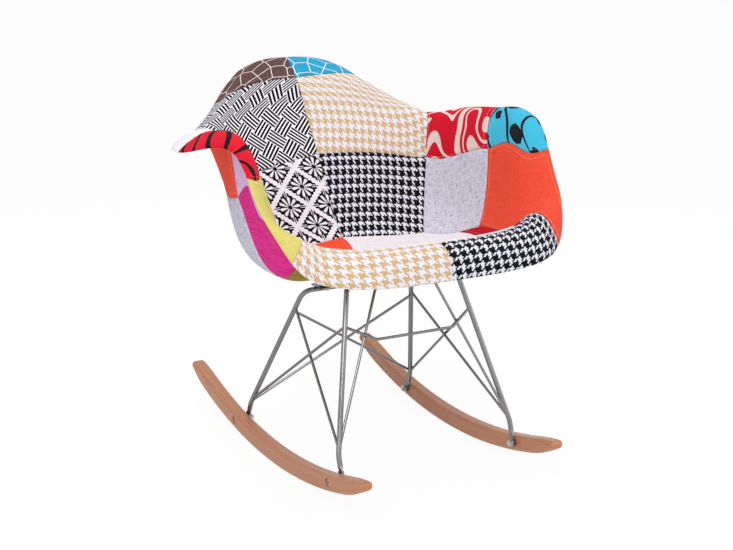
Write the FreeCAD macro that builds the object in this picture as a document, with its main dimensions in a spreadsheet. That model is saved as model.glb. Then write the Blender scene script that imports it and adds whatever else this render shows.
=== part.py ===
# Upholstered rocking armchair: a padded bucket seat in patchwork fabric on a welded rod base with wooden rockers.
# Millimetres, +Z up. The chair faces -Y, the origin lies on the floor, midway between the rocker tips.
import FreeCAD, Part
import Sketcher
import functools
import math
import os
from FreeCAD import Placement, Rotation, Vector

doc = FreeCAD.newDocument("rocking_armchair")
sheet = doc.addObject("Spreadsheet::Sheet", "sizes")

# Driving sizes of the padding, the rod base, the mounts and the rockers.
SIZES = {
    "inner_cover": 1.5,
    "outer_cover": 1.5,
    "foam": 8,
    "shell": 4.5,
    "layer_gap": 1,
    "rim_gap": 1,
    "pinch_width": 60,
    "cover_crown": 1.2,
    "seam_gap": 1.1,
    "shell_inset": 9,
    "foam_inset": 12,
    "rod": 9,
    "wire": 5,
    "weld_gap": 0.2,
    "fit_gap": 0.2,
    "rod_bend": 22,
    "foot_bend": 60,
    "rear_bar_y": 33.5,
    "rear_bar_z": 295.5,
    "rear_bar_half": 113,
    "rear_knee_lead": 16,
    "front_bar_y": -119,
    "front_bar_z": 350.5,
    "front_bar_half": 109,
    "front_knee_lead": 18,
    "rear_bolt_y": 138,
    "front_bolt_y": -229,
    "bolt_rise": 17,
    "eye_width": 13,
    "eye_thick": 4.5,
    "eye_length": 14,
    "eye_taper": 8,
    "rear_low_joint": 69,
    "rear_high_joint": 254,
    "side_joint_rise": 7,
    "front_low_joint": 92,
    "front_high_joint": 281.5,
    "cross_bend_x": 76,
    "cross_bend_drop": 22,
    "cross_bend_lead": 24,
    "vee_bend_x": 61,
    "vee_bend_drop": 18.5,
    "vee_bend_lead": 11.5,
    "vee_end_x": 50,
    "wire_bend": 14,
    "rocker_x": 189,
    "rocker_width": 26,
    "rocker_radius": 950,
    "rocker_low_y": 6.3,
    "rocker_reach": 338,
    "rocker_height": 31,
    "rocker_end_height": 28,
    "rocker_tip": 15,
    "rocker_tip_rise": 15,
    "rocker_nose": 58,
    "rocker_round": 6.5,
    "bolt": 6,
    "bolt_hole": 6.6,
    "bolt_head": 10.5,
    "bolt_head_height": 6,
    "bolt_tail": 2,
    "hex_key": 5,
    "hex_key_depth": 3,
    "counterbore": 14,
    "counterbore_depth": 8,
    "washer": 12.5,
    "washer_thick": 1.5,
    "nut": 10,
    "nut_height": 5,
    "tab_width": 30,
    "tab_thick": 3,
    "tab_margin": 13,
    "pad": 26,
    "pad_thick": 5,
    "boss": 26,
    "boss_sink": 2,
    "insert": 9,
    "insert_length": 6,
    "screw": 6,
    "screw_bite": 5.4,
    "screw_head": 12,
    "screw_head_height": 4,
    "cover_hole_gap": 0.8,
    "front_mount_across": 0.088,
    "front_mount_along": 0.281,
    "rear_mount_across": 0.088,
    "rear_mount_along": 0.423,
}

# Ribs of the bucket's inner face, from the front lip to the top of the back. Each rib is half of a symmetric
# spline: a centre point, the half width of its flat middle, and the bend, shoulder and rim that it turns through.
RIB_FIELDS = ("station", "centre_y", "centre_z", "flat", "bend_x", "bend_y", "bend_z",
              "shoulder_x", "shoulder_y", "shoulder_z", "rim_x", "rim_y", "rim_z")
RIBS = {
    "lip": (0.0, -281, 384, 90, 150, -279, 386, 192, -274, 393, 220, -253, 394),
    "crest": (0.09, -240, 437, 100, 185, -235, 437, 234, -234, 431, 258, -227, 419),
    "seat_front": (0.2, -152, 405, 131, 217, -166, 423, 237, -187, 472, 281, -189, 472),
    "seat_middle": (0.3, -76, 374, 145, 231, -100, 355, 232, -126, 479, 292, -143, 524),
    "seat_low": (0.41, 11, 346, 160, 248, -26, 347, 250, -66, 639, 307, -79, 590),
    "seat_rear": (0.51, 84, 359, 160, 232, 54, 354, 252, 28, 665, 341, 18, 572),
    "back_foot": (0.62, 141, 428, 155, 216, 116, 420, 234, 106, 640, 334, 102, 562),
    "back_low": (0.73, 192, 504, 140, 214, 175, 513, 226, 165, 595, 277, 192, 552),
    "back_middle": (0.836, 242, 576, 110, 161, 237, 581, 193, 226, 586, 211, 237, 583),
    "back_high": (0.926, 287, 637, 75, 109, 283, 634, 141, 280, 628, 160, 287, 614),
    "back_top": (1.0, 329, 671, 45, 68, 328, 664, 87, 324, 659, 107, 319, 651),
}

cells = dict(SIZES)
for rib_name, rib_values in RIBS.items():
    for field, value in zip(RIB_FIELDS, rib_values):
        cells[rib_name + "_" + field] = value
for row, (alias, value) in enumerate(cells.items(), start=1):
    sheet.set("A%d" % row, alias)
    sheet.set("B%d" % row, str(value))
    sheet.setAlias("B%d" % row, alias)
doc.recompute()


def size(alias):
    return float(sheet.get(alias))


nodes = {}


def keep(label, item):
    """Register a finished sub-part under the name of its file."""
    item.Label = label
    nodes[label] = item
    return item


def feature(label, shape):
    """Add a free-form sub-part whose shape is worked out from the sheet."""
    item = doc.addObject("Part::Feature", label)
    item.Shape = shape
    return keep(label, item)


# Bucket surface

def track(fields):
    """Smooth curve along the bucket through the same point of every rib."""
    points = [Vector(*[size(rib + "_" + field) if field else 0 for field in fields]) for rib in RIBS]
    curve = Part.BSplineCurve()
    curve.interpolate(Points=points, Parameters=[size(rib + "_station") for rib in RIBS])
    return curve


centre_track = track((None, "centre_y", "centre_z"))
flat_track = track(("flat", "centre_y", "centre_z"))
bend_track = track(("bend_x", "bend_y", "bend_z"))
shoulder_track = track(("shoulder_x", "shoulder_y", "shoulder_z"))
rim_track = track(("rim_x", "rim_y", "rim_z"))
bucket_tracks = (centre_track, flat_track, bend_track, shoulder_track, rim_track)
profile_length = centre_track.length()


@functools.lru_cache(maxsize=None)
def rib(along):
    """Right half of the rib at a place between the lip (0) and the top of the back (1)."""
    curve = Part.BSplineCurve()
    curve.buildFromPolesMultsKnots([path.value(along) for path in bucket_tracks], [4, 1, 4], [0, 0.5, 1], False, 3)
    return curve


@functools.lru_cache(maxsize=None)
def rib_length(along):
    return rib(along).length()


def bucket_point(across, along):
    """Point of the inner face: across runs from -1 at the left rim to 1 at the right rim."""
    point = rib(along).value(abs(across))
    return Vector(math.copysign(point.x, across), point.y, point.z)


NORMAL_STEP = 0.01
NORMAL_INSET = 0.05


def bucket_normal(across, along):
    """Direction out of the inner face, taken a little inside the rim where the face is well rounded."""
    across = across * (1 - NORMAL_INSET)
    along = NORMAL_INSET / 2 + along * (1 - NORMAL_INSET)
    sideways = bucket_point(across + NORMAL_STEP, along) - bucket_point(across - NORMAL_STEP, along)
    lengthways = bucket_point(across, along + NORMAL_STEP) - bucket_point(across, along - NORMAL_STEP)
    return sideways.cross(lengthways).normalize()


def ease(distance):
    """Share of the full depth at a distance from the rim, level past the pinch."""
    return 1 - (1 - min(distance / size("pinch_width"), 1)) ** 3


def fullness(across, along):
    """Share of the full depth at a place, drawn in towards the sides, the lip and the top."""
    return ease((1 - abs(across)) * rib_length(along)) * ease(min(along, 1 - along) * profile_length)


full_depth = sum(size(name) for name in ("inner_cover", "foam", "shell", "outer_cover")) + 3 * size("layer_gap")
rim_depth = size("inner_cover") + size("rim_gap") + size("outer_cover")


def padding_depth(across, along):
    """Whole thickness of the padding, drawn in to the two covers at the rim."""
    return rim_depth + (full_depth - rim_depth) * fullness(across, along)


def foam_top(across, along):
    return size("inner_cover") + size("layer_gap")


def shell_bottom(across, along):
    return padding_depth(across, along) - size("outer_cover") - size("layer_gap")


def shell_top(across, along):
    """The shell thins towards its edge, slower than the padding does."""
    return shell_bottom(across, along) - size("shell") * math.sqrt(fullness(across, along))


def foam_bottom(across, along):
    return shell_top(across, along) - size("layer_gap")


def under(across, along, depth):
    return bucket_point(across, along) - bucket_normal(across, along) * depth


def even(count):
    return [index / (count - 1) for index in range(count)]


def crowded(count):
    """Places from 0 to 1 that lie closer together towards both ends, where the padding is drawn in."""
    return [(1 - math.cos(math.pi * part)) / 2 for part in even(count)]


def spline(points):
    curve = Part.BSplineCurve()
    curve.interpolate(Points=points, Parameters=crowded(len(points)))
    return curve


def smooth_surface(rows):
    """Cubic surface through a grid of points: splines along the rows, then through the rows' poles."""
    across = [spline(row) for row in rows]
    along = [spline(list(poles)) for poles in zip(*[curve.getPoles() for curve in across])]
    surface = Part.BSplineSurface()
    surface.buildFromPolesMultsKnots([curve.getPoles() for curve in along], across[0].getMultiplicities(),
                                     along[0].getMultiplicities(), across[0].getKnots(), along[0].getKnots(),
                                     False, False, across[0].Degree, along[0].Degree)
    return surface


def quilt(top_rows, bottom_rows):
    """Closed solid between two smooth faces through grids of points, with ruled sides."""
    faces = []
    borders = []
    for rows in (top_rows, bottom_rows):
        surface = smooth_surface(rows)
        first_u, last_u, first_v, last_v = surface.bounds()
        borders.append([surface.uIso(first_u), surface.uIso(last_u), surface.vIso(first_v), surface.vIso(last_v)])
        faces.append(surface.toShape())
    for upper, lower in zip(*borders):
        faces.append(Part.makeRuledSurface(upper.toShape(), lower.toShape(), 1))
    skin = Part.makeShell(faces)
    skin.sewShape()
    solid = Part.makeSolid(skin)
    if solid.Volume < 0:
        solid.reverse()
    return solid


# Shell and foam, which run under all the patches

SHELL_ROWS = 25
SHELL_COLUMNS = 31


def full_layer(inset, top_depth, bottom_depth):
    first = inset / profile_length
    top_rows = []
    bottom_rows = []
    for step in crowded(SHELL_ROWS):
        along = first + (1 - 2 * first) * step
        half = 1 - inset / rib_length(along)
        places = [half * (2 * part - 1) for part in crowded(SHELL_COLUMNS)]
        top_rows.append([under(across, along, top_depth(across, along)) for across in places])
        bottom_rows.append([under(across, along, bottom_depth(across, along)) for across in places])
    return quilt(top_rows, bottom_rows)


# Mounts between the shell and the base

class Mount:
    """Axis of one seat mount: square to the cross bar beside it, and upright to the seat's slope there."""

    def __init__(self, side, end):
        across = side * size(end + "_mount_across")
        along = size(end + "_mount_along")
        slope = bucket_normal(across, along)
        self.axis = Vector(0, slope.y, slope.z).normalize()
        self.shell_face = under(across, along, shell_bottom(across, along))
        bar = Vector(self.shell_face.x, size(end + "_bar_y"), size(end + "_bar_z"))
        self.bar_top = bar + self.axis * (size("rod") / 2 + size("weld_gap"))
        rise = (self.bar_top - self.shell_face).dot(self.axis)
        self.tab_face = self.shell_face + self.axis * rise
        self.bar_side = self.bar_top - self.tab_face
        self.pad_face = self.tab_face + self.axis * (size("tab_thick") + size("fit_gap"))
        self.boss_face = self.pad_face + self.axis * (size("pad_thick") + size("fit_gap"))
        self.boss_height = (self.shell_face - self.boss_face).dot(self.axis) + size("boss_sink")

    def cylinder(self, diameter, length, foot):
        return Part.makeCylinder(diameter / 2, length, foot, self.axis)


SIDES = {"left": -1, "right": 1}
mount_at = {(end, name): Mount(side, end) for end in ("front", "rear") for name, side in SIDES.items()}
mounts = list(mount_at.values())

shell = full_layer(size("shell_inset"), shell_top, shell_bottom)
for mount in mounts:
    shell = shell.fuse(mount.cylinder(size("boss"), mount.boss_height, mount.boss_face))
insert_hole = size("insert") + 2 * size("fit_gap")
for mount in mounts:
    shell = shell.cut(mount.cylinder(insert_hole, size("insert_length") + size("fit_gap"), mount.boss_face))
feature("seat_shell", shell)
feature("inner_foam", full_layer(size("foam_inset"), foam_top, foam_bottom))


# Patchwork covers: each patch is bounded by four seams, given as places (across, along) on the bucket.

def seam(*places):
    """Smooth line through two or three places, run from 0 to 1."""
    last = len(places) - 1

    def at(part):
        across = 0
        along = 0
        for index, place in enumerate(places):
            weight = 1
            for other in range(len(places)):
                if other != index:
                    weight *= (part * last - other) / (index - other)
            across += weight * place[0]
            along += weight * place[1]
        return across, along
    return at


def chain(first, second, share=0.5):
    """Two seams one after the other, the first taking the given share of the run."""
    def at(part):
        if part < share:
            return first(part / share)
        return second((part - share) / (1 - share))
    return at


def backwards(line):
    return lambda part: line(1 - part)


def stretch_of(line, first, last):
    """The stretch of a seam between two shares of its run."""
    return lambda part: line(first + (last - first) * part)


def corner_rim(side, edge, side_end, share):
    """Rim from the middle of the lip (edge 0) or of the top (edge 1), round the corner to a place on the side."""
    return chain(seam((0, edge), (side, edge)), seam((side, edge), (side, side_end)), share)


def blend(first, second, part):
    return [one + (two - one) * part for one, two in zip(first, second)]


def patch_place(seams, u, v):
    """Place inside a patch whose start and end run along u, and whose left and right seams run along v."""
    start, end, left, right = seams
    sides = blend(left(v), right(v), u)
    ends = blend(start(u), end(u), v)
    corners = blend(blend(start(0), start(1), u), blend(end(0), end(1), u), v)
    across = min(max(sides[0] + ends[0] - corners[0], -1), 1)
    along = min(max(sides[1] + ends[1] - corners[1], 0), 1)
    return across, along


PATCH_POINTS = 11


def patch_solid(seams, face_depth, back_depth):
    """Patch between two depths, crowned in its middle and drawn in at its seams."""
    def point(u, v, depth):
        across, along = patch_place(seams, u, v)
        return under(across, along, depth(across, along, 16 * u * (1 - u) * v * (1 - v)))

    width = (point(1, 0.5, face_depth) - point(0, 0.5, face_depth)).Length
    height = (point(0.5, 1, face_depth) - point(0.5, 0, face_depth)).Length
    trim_u = size("seam_gap") / 2 / width
    trim_v = size("seam_gap") / 2 / height
    columns = [trim_u + (1 - 2 * trim_u) * part for part in crowded(PATCH_POINTS)]
    rows = [trim_v + (1 - 2 * trim_v) * part for part in crowded(PATCH_POINTS)]
    face_rows = [[point(u, v, face_depth) for u in columns] for v in rows]
    back_rows = [[point(u, v, back_depth) for u in columns] for v in rows]
    return quilt(face_rows, back_rows)


def inner_face(across, along, crown):
    return -size("cover_crown") * crown


def inner_back(across, along, crown):
    return size("inner_cover")


def outer_face(across, along, crown):
    return padding_depth(across, along) + size("cover_crown") * crown


def outer_back(across, along, crown):
    return padding_depth(across, along) - size("outer_cover")


LIP_CENTRE = (0, 0)
TOP_CENTRE = (0, 1)
FRONT_CENTRE = (0, 0.105)
# Share of the front seam that lies before its fork with the seat.
FRONT_FORK = 2 / 3
SEAT_BACK = (0, 0.53)
BACK_MIDDLE = (0, 0.733)
BACK_HIGH = (0, 0.926)


class InnerSeams:
    """Seams on one half of the inner face: side is 1 on the right and -1 on the left."""

    def __init__(self, side, places):
        back_foot = (side * 0.25, places["back_foot"])
        back_fork = (side * 0.49, 0.658)
        back_rim = (side, 0.78)
        top_rim = (side, places["top_rim"])
        arm_foot = (side * 0.435, 0.398)
        arm_fork = (side * 0.68, 0.463)
        arm_rear = (side, 0.545)
        arm_front = (side, 0.337)
        rear_arm_front = (side, 0.36)
        foot_fork = (side * 0.635, 0.247)
        front_run = seam(FRONT_CENTRE, (side * 0.22, 0.116), (side * 0.43, 0.153), foot_fork)
        front_fork = front_run(FRONT_FORK)
        front_rim = (side, places["front_rim"])
        sliver = (side * 0.36, 0.44)
        self.centre_top = seam(BACK_HIGH, TOP_CENTRE)
        self.centre_upper = seam(BACK_MIDDLE, BACK_HIGH)
        self.centre_lower = seam(SEAT_BACK, BACK_MIDDLE)
        self.centre_front = seam(FRONT_CENTRE, LIP_CENTRE)
        self.top = seam(BACK_HIGH, (side * 0.75, places["top_bow"]), back_rim)
        self.top_rim = corner_rim(side, 1, top_rim[1], 0.6)
        self.top_end = seam(back_rim, top_rim)
        self.row = seam(BACK_MIDDLE, (side * 0.25, places["row_bow"]), back_fork)
        self.row_corner = seam(back_fork, (side * 0.625, 0.55), arm_fork)
        self.back_upper = seam(back_fork, (side * 0.65, 0.713), back_rim)
        self.back_lower = seam(back_foot, (side * 0.357, 0.587), back_fork)
        self.seat_rear = seam(SEAT_BACK, back_foot)
        self.corner_rim = seam(back_rim, arm_rear)
        self.arm_upper = seam(arm_fork, (side * 0.785, 0.497), arm_rear)
        self.arm_lower = seam(arm_foot, (side * 0.568, 0.43), arm_fork)
        self.corner_foot = seam(back_foot, arm_foot)
        self.corner_foot_rear = seam(back_foot, sliver)
        self.corner_foot_front = seam(sliver, arm_foot)
        self.arm_edge = seam(arm_fork, (side * 0.83, 0.37), arm_front)
        self.arm_rim = seam(arm_rear, rear_arm_front)
        self.arm_tip = seam(arm_front, rear_arm_front)
        self.foot_rear = seam(arm_foot, foot_fork)
        self.foot_front = seam(foot_fork, (side * 0.78, places["foot_bow"]), front_rim)
        self.arm_front_rim = seam(front_rim, arm_front)
        self.front_inner = stretch_of(front_run, 0, FRONT_FORK)
        self.front_outer = stretch_of(front_run, FRONT_FORK, 1)
        self.front = front_run
        self.front_rim = corner_rim(side, 0, front_rim[1], 0.85)
        self.seat_edge_short = seam(sliver, (side * 0.43, 0.29), front_fork)
        self.seat_edge_long = seam(SEAT_BACK, (side * 0.07, 0.38), front_fork)


inner = {
    "right": InnerSeams(SIDES["right"], {"back_foot": 0.505, "top_bow": 0.908, "top_rim": 0.88,
                                         "row_bow": 0.712, "foot_bow": 0.13, "front_rim": 0.052}),
    "left": InnerSeams(SIDES["left"], {"back_foot": 0.49, "top_bow": 0.886, "top_rim": 0.88,
                                       "row_bow": 0.696, "foot_bow": 0.165, "front_rim": 0.113}),
}
inner_patches = {}
for name, lines in inner.items():
    foot = chain(lines.foot_rear, lines.foot_front, 0.4)
    inner_patches["back_top_" + name] = (lines.centre_top, lines.top_end, lines.top, lines.top_rim)
    inner_patches["back_upper_" + name] = (lines.row, lines.top, lines.centre_upper, lines.back_upper)
    inner_patches["back_lower_" + name] = (lines.seat_rear, lines.row, lines.centre_lower, lines.back_lower)
    inner_patches["corner_upper_" + name] = (lines.row_corner, lines.corner_rim, lines.back_upper, lines.arm_upper)
    inner_patches["corner_lower_" + name] = (lines.corner_foot, lines.row_corner, lines.back_lower, lines.arm_lower)
    inner_patches["arm_top_" + name] = (lines.arm_upper, lines.arm_tip, lines.arm_edge, lines.arm_rim)
    inner_patches["arm_front_" + name] = (lines.arm_lower, lines.arm_front_rim, foot, lines.arm_edge)
    inner_patches["seat_front_" + name] = (lines.centre_front, lines.foot_front, lines.front, lines.front_rim)

left = inner["left"]
right = inner["right"]
inner_patches["seat_side_right"] = (right.corner_foot_front, right.front_outer, right.seat_edge_short, right.foot_rear)
inner_patches["seat_side_left"] = (left.seat_rear, left.front_outer, left.seat_edge_long,
                                   chain(left.corner_foot, left.foot_rear, 0.4))
inner_patches["seat_centre"] = (right.seat_rear, chain(backwards(left.front_inner), right.front_inner),
                                left.seat_edge_long, chain(right.corner_foot_rear, right.seat_edge_short, 0.2))
for name, seams in inner_patches.items():
    feature("inner_" + name, patch_solid(seams, inner_face, inner_back))


class OuterSeams:
    """Seams on one half of the outer face, on the back of the same bucket places."""

    def __init__(self, side):
        under_centre = (0, 0.36)
        under_rear = (0, 0.52)
        back_centre = (0, 0.73)
        under_fork = (side * 0.36, 0.36)
        rear_fork = (side * 0.25, 0.52)
        side_fork = (side * 0.615, 0.453)
        back_fork = (side * 0.50, 0.66)
        back_rim = (side, 0.78)
        arm_rim_rear = (side, 0.41)
        arm_rim_front = (side, 0.39)
        side_rim = (side, 0.31)
        front_rim = (side, 0.10)
        self.arm_rim = seam(arm_rim_rear, arm_rim_front)
        self.arm_front_rim = seam(arm_rim_front, side_rim)
        self.arm_column = seam(arm_rim_rear, (side * 0.80, 0.45), side_fork)
        self.arm_foot = seam(side_fork, side_rim)
        self.rear_rim = seam(arm_rim_rear, back_rim)
        self.rear_foot = seam(side_fork, (side * 0.565, 0.55), back_fork)
        self.rear_column = seam(back_fork, back_rim)
        self.side_column = seam(under_fork, (side * 0.505, 0.40), side_fork)
        self.side_foot = seam(under_fork, rear_fork)
        self.side_back = seam(rear_fork, back_fork)
        self.front_foot = seam(under_fork, (side * 0.62, 0.22), front_rim)
        self.front_side_rim = seam(front_rim, side_rim)
        self.under_cross = seam(under_centre, under_fork)
        self.under_middle = seam(under_centre, LIP_CENTRE)
        self.lip = corner_rim(side, 0, front_rim[1], 0.8)
        self.rear_cross = seam(under_rear, rear_fork)
        self.back_middle = seam(under_rear, back_centre)
        self.back_row = seam(back_centre, back_fork)
        self.back_top = seam(back_centre, TOP_CENTRE)
        self.top = corner_rim(side, 1, back_rim[1], 0.35)


outer_patches = {}
outer = {name: OuterSeams(side) for name, side in SIDES.items()}
for name, lines in outer.items():
    outer_patches["arm_front_" + name] = (lines.arm_rim, lines.arm_foot, lines.arm_column, lines.arm_front_rim)
    outer_patches["arm_rear_" + name] = (backwards(lines.arm_column), lines.rear_column, lines.rear_foot, lines.rear_rim)
    outer_patches["side_rear_" + name] = (lines.side_column, lines.side_back, lines.side_foot, lines.rear_foot)
    outer_patches["side_front_" + name] = (lines.side_column, lines.front_side_rim, lines.front_foot, lines.arm_foot)
    outer_patches["under_front_" + name] = (lines.under_cross, lines.lip, lines.under_middle, lines.front_foot)
    outer_patches["back_lower_" + name] = (lines.rear_cross, lines.back_row, lines.back_middle, lines.side_back)
    outer_patches["back_upper_" + name] = (lines.back_row, lines.top, lines.back_top, lines.rear_column)
outer_patches["under_rear"] = (chain(backwards(outer["left"].under_cross), outer["right"].under_cross),
                               chain(backwards(outer["left"].rear_cross), outer["right"].rear_cross),
                               outer["left"].side_foot, outer["right"].side_foot)
bosses_through = {
    "under_front_left": [mount_at["front", "left"]],
    "under_front_right": [mount_at["front", "right"]],
    "under_rear": [mount_at["rear", "left"], mount_at["rear", "right"]],
}
boss_hole = size("boss") + 2 * size("cover_hole_gap")
for name, seams in outer_patches.items():
    patch = patch_solid(seams, outer_back, outer_face)
    for mount in bosses_through.get(name, []):
        patch = patch.cut(mount.cylinder(boss_hole, mount.boss_height + full_depth, mount.pad_face))
    feature("outer_" + name, patch)


# Bound primitives for the base

def bind(item, **expressions):
    for field, expression in expressions.items():
        item.setExpression(field, expression)
    return item


def cylinder(name, radius, height, foot, axis):
    item = bind(doc.addObject("Part::Cylinder", name), Radius=radius, Height=height)
    item.Placement = Placement(foot, Rotation(Vector(0, 0, 1), axis))
    return item


def circle(name, radius, centre, axis):
    item = bind(doc.addObject("Part::Circle", name), Radius=radius)
    item.Placement = Placement(centre, Rotation(Vector(0, 0, 1), axis))
    return item


def fused(name, items):
    item = doc.addObject("Part::MultiFuse", name)
    item.Shapes = items
    return item


def cut(name, base, tool):
    item = doc.addObject("Part::Cut", name)
    item.Base = base
    item.Tool = tool
    return item


def bent_path(points, radii):
    """Straight runs joined by tangent arcs, one radius for each inner point."""
    edges = []
    start = points[0]
    for before, corner, after, radius in zip(points, points[1:], points[2:], radii):
        back = (before - corner).normalize()
        ahead = (after - corner).normalize()
        half_angle = back.getAngle(ahead) / 2
        entry = corner + back * (radius / math.tan(half_angle))
        leave = corner + ahead * (radius / math.tan(half_angle))
        middle = corner + (back + ahead).normalize() * (radius / math.sin(half_angle) - radius)
        edges.append(Part.makeLine(start, entry))
        edges.append(Part.Arc(entry, middle, leave).toShape())
        start = leave
    edges.append(Part.makeLine(start, points[-1]))
    return Part.Wire(edges)


def swept(name, points, radii, radius):
    """Round bar along a bent path, its radius bound to the sheet."""
    path = doc.addObject("Part::Feature", name + "_path")
    path.Shape = bent_path(points, radii)
    profile = circle(name + "_profile", radius, points[0], points[1] - points[0])
    bar = doc.addObject("Part::Sweep", name)
    bar.Sections = [profile]
    bar.Spine = (path, ["Edge%d" % (index + 1) for index in range(len(path.Shape.Edges))])
    bar.Solid = True
    return bar


ACROSS = Vector(1, 0, 0)


def rocker_floor(along):
    """Height of the rocker's lower edge over the floor."""
    offset = along - size("rocker_low_y")
    return size("rocker_radius") - math.sqrt(size("rocker_radius") ** 2 - offset ** 2)


class Hoop:
    """One bent leg rod: two feet on the rockers, two legs and a cross bar, all in one leaning plane."""

    def __init__(self, end):
        self.end = end
        bolt_y = size(end + "_bolt_y")
        self.foot = Vector(0, bolt_y, rocker_floor(bolt_y) + size("bolt_rise"))
        self.bar = Vector(0, size(end + "_bar_y"), size(end + "_bar_z"))
        self.up = (self.bar - self.foot).normalize()
        self.foot_x = size("rocker_x") - size("rocker_width") / 2 - size("fit_gap") - size("eye_thick") / 2
        self.rod_start = self.foot + self.up * (size("eye_length") + size("eye_taper"))
        self.knee = self.rod_start + self.up * size(end + "_knee_lead")
        self.bar_half = size(end + "_bar_half")

    def on_side(self, point, side, half):
        return Vector(side * half, point.y, point.z)

    def path(self):
        left = [self.on_side(self.rod_start, -1, self.foot_x), self.on_side(self.knee, -1, self.foot_x),
                self.on_side(self.bar, -1, self.bar_half)]
        return left + [Vector(-point.x, point.y, point.z) for point in left[::-1]]

    def radii(self):
        return [size("foot_bend"), size("rod_bend"), size("rod_bend"), size("foot_bend")]

    def joint(self, side, height):
        """Point on a leg's centre line at a height."""
        share = (height - self.knee.z) / (self.bar.z - self.knee.z)
        half = self.foot_x + (self.bar_half - self.foot_x) * share
        point = self.knee + (self.bar - self.knee) * share
        return self.on_side(point, side, half)

    def eye(self, side):
        """Flattened end of the rod with its tapered neck."""
        name = "%s_eye_%s" % (self.end, "left" if side < 0 else "right")
        centre = self.on_side(self.foot, side, self.foot_x)
        inner_side = centre - ACROSS * (size("eye_thick") / 2)
        turn = Rotation(Vector(0, 0, 1), self.up)
        disc = cylinder(name + "_disc", "sizes.eye_width / 2", "sizes.eye_thick", inner_side, ACROSS)
        blade = bind(doc.addObject("Part::Box", name + "_blade"), Length="sizes.eye_thick",
                     Width="sizes.eye_width", Height="sizes.eye_length")
        blade.Placement = Placement(inner_side - turn.multVec(Vector(0, size("eye_width") / 2, 0)), turn)
        neck_start = centre + self.up * size("eye_length")
        flat_end = bind(doc.addObject("Part::Ellipse", name + "_flat"),
                        MajorRadius="sizes.eye_width / 2", MinorRadius="sizes.eye_thick / 2")
        flat_end.Placement = Placement(neck_start, turn * Rotation(Vector(0, 0, 1), 90))
        round_end = circle(name + "_round", "sizes.rod / 2", neck_start + self.up * size("eye_taper"), self.up)
        round_end.Placement = Placement(neck_start + self.up * size("eye_taper"), turn * Rotation(Vector(0, 0, 1), 90))
        neck = doc.addObject("Part::Loft", name + "_neck")
        neck.Sections = [flat_end, round_end]
        neck.Solid = True
        return [disc, blade, neck]

    def build(self):
        bar = swept(self.end + "_hoop_bar", self.path(), self.radii(), "sizes.rod / 2")
        blank = fused(self.end + "_hoop_blank", [bar] + self.eye(-1) + self.eye(1))
        holes = []
        for side in (-1, 1):
            start = self.on_side(self.foot, side, self.foot_x) - ACROSS * size("eye_thick")
            holes.append(cylinder("%s_eye_hole_%d" % (self.end, side + 1), "sizes.bolt_hole / 2",
                                  "2 * sizes.eye_thick", start, ACROSS))
        self.clearance = swept(self.end + "_hoop_room", self.path(), self.radii(), "sizes.rod / 2 + sizes.weld_gap")
        return cut(self.end + "_leg_hoop", blank, fused(self.end + "_eye_holes", holes))


front = Hoop("front")
rear = Hoop("rear")
keep("front_leg_hoop", front.build())
keep("rear_leg_hoop", rear.build())


def welded_wire(label, points, radii, hoops):
    """Brace wire whose ends stop at the surface of the rods that they are welded to."""
    bar = swept(label + "_bar", points, radii, "sizes.wire / 2")
    rooms = [hoop.clearance for hoop in hoops]
    room = rooms[0] if len(rooms) == 1 else fused(label + "_room", rooms)
    return keep(label, cut(label, bar, room))


def side_by_side(first, second):
    """Move two crossing lines apart, so that wires along them just touch."""
    direction = (first[1] - first[0]).cross(second[1] - second[0]).normalize()
    apart = (second[0] - first[0]).dot(direction)
    if apart < 0:
        direction = -direction
        apart = -apart
    shift = direction * ((size("wire") + size("weld_gap") - apart) / 2)
    return [point - shift for point in first], [point + shift for point in second]


rear_low = {side: rear.joint(side, size("rear_low_joint")) for side in (-1, 1)}
rear_high = {side: rear.joint(side, size("rear_high_joint")) for side in (-1, 1)}
rear_side_high = {side: rear.joint(side, size("rear_high_joint") + size("side_joint_rise")) for side in (-1, 1)}
front_low = {side: front.joint(side, size("front_low_joint")) for side in (-1, 1)}
front_high = {side: front.joint(side, size("front_high_joint")) for side in (-1, 1)}

rising, falling = side_by_side([rear_low[-1], rear_high[1]], [rear_high[-1], rear_low[1]])
welded_wire("rear_brace_rising", rising, [], [rear])
welded_wire("rear_brace_falling", falling, [], [rear])
for name, side in SIDES.items():
    rising, falling = side_by_side([front_low[side], rear_side_high[side]], [front_high[side], rear_low[side]])
    welded_wire("side_brace_rising_" + name, rising, [], [front, rear])
    welded_wire("side_brace_falling_" + name, falling, [], [front, rear])

cross_half = []
for side in (-1, 1):
    joint = front_high[side]
    cross_half.append([joint, Vector(side * size("cross_bend_x"), joint.y - size("cross_bend_lead"),
                                     joint.z - size("cross_bend_drop"))])
welded_wire("front_cross_wire", cross_half[0] + cross_half[1][::-1], [size("wire_bend")] * 2, [front])
for name, side in SIDES.items():
    bend = Vector(side * size("vee_bend_x"), front.bar.y - size("vee_bend_lead"), front.bar.z - size("vee_bend_drop"))
    bar_end = Vector(side * size("vee_end_x"), front.bar.y, front.bar.z)
    welded_wire("front_vee_wire_" + name, [front_low[side], bend, bar_end], [size("wire_bend")], [front])


# Rockers

def polar(angle, radius):
    """Point of the rocker's side view at an angle from straight down, about the centre of its arc."""
    return Vector(size("rocker_low_y") + radius * math.sin(angle), size("rocker_radius") - radius * math.cos(angle), 0)


def floor_angle(end, reach, radius):
    """Angle at which a point of that radius lies at the given distance from the origin, towards one end."""
    return math.asin((end * reach - size("rocker_low_y")) / radius)


def arc_middle(centre, start, end):
    """Middle of the shorter arc between two points about a centre."""
    ray = (start - centre).normalize() + (end - centre).normalize()
    return centre + ray.normalize() * (start - centre).Length


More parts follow.
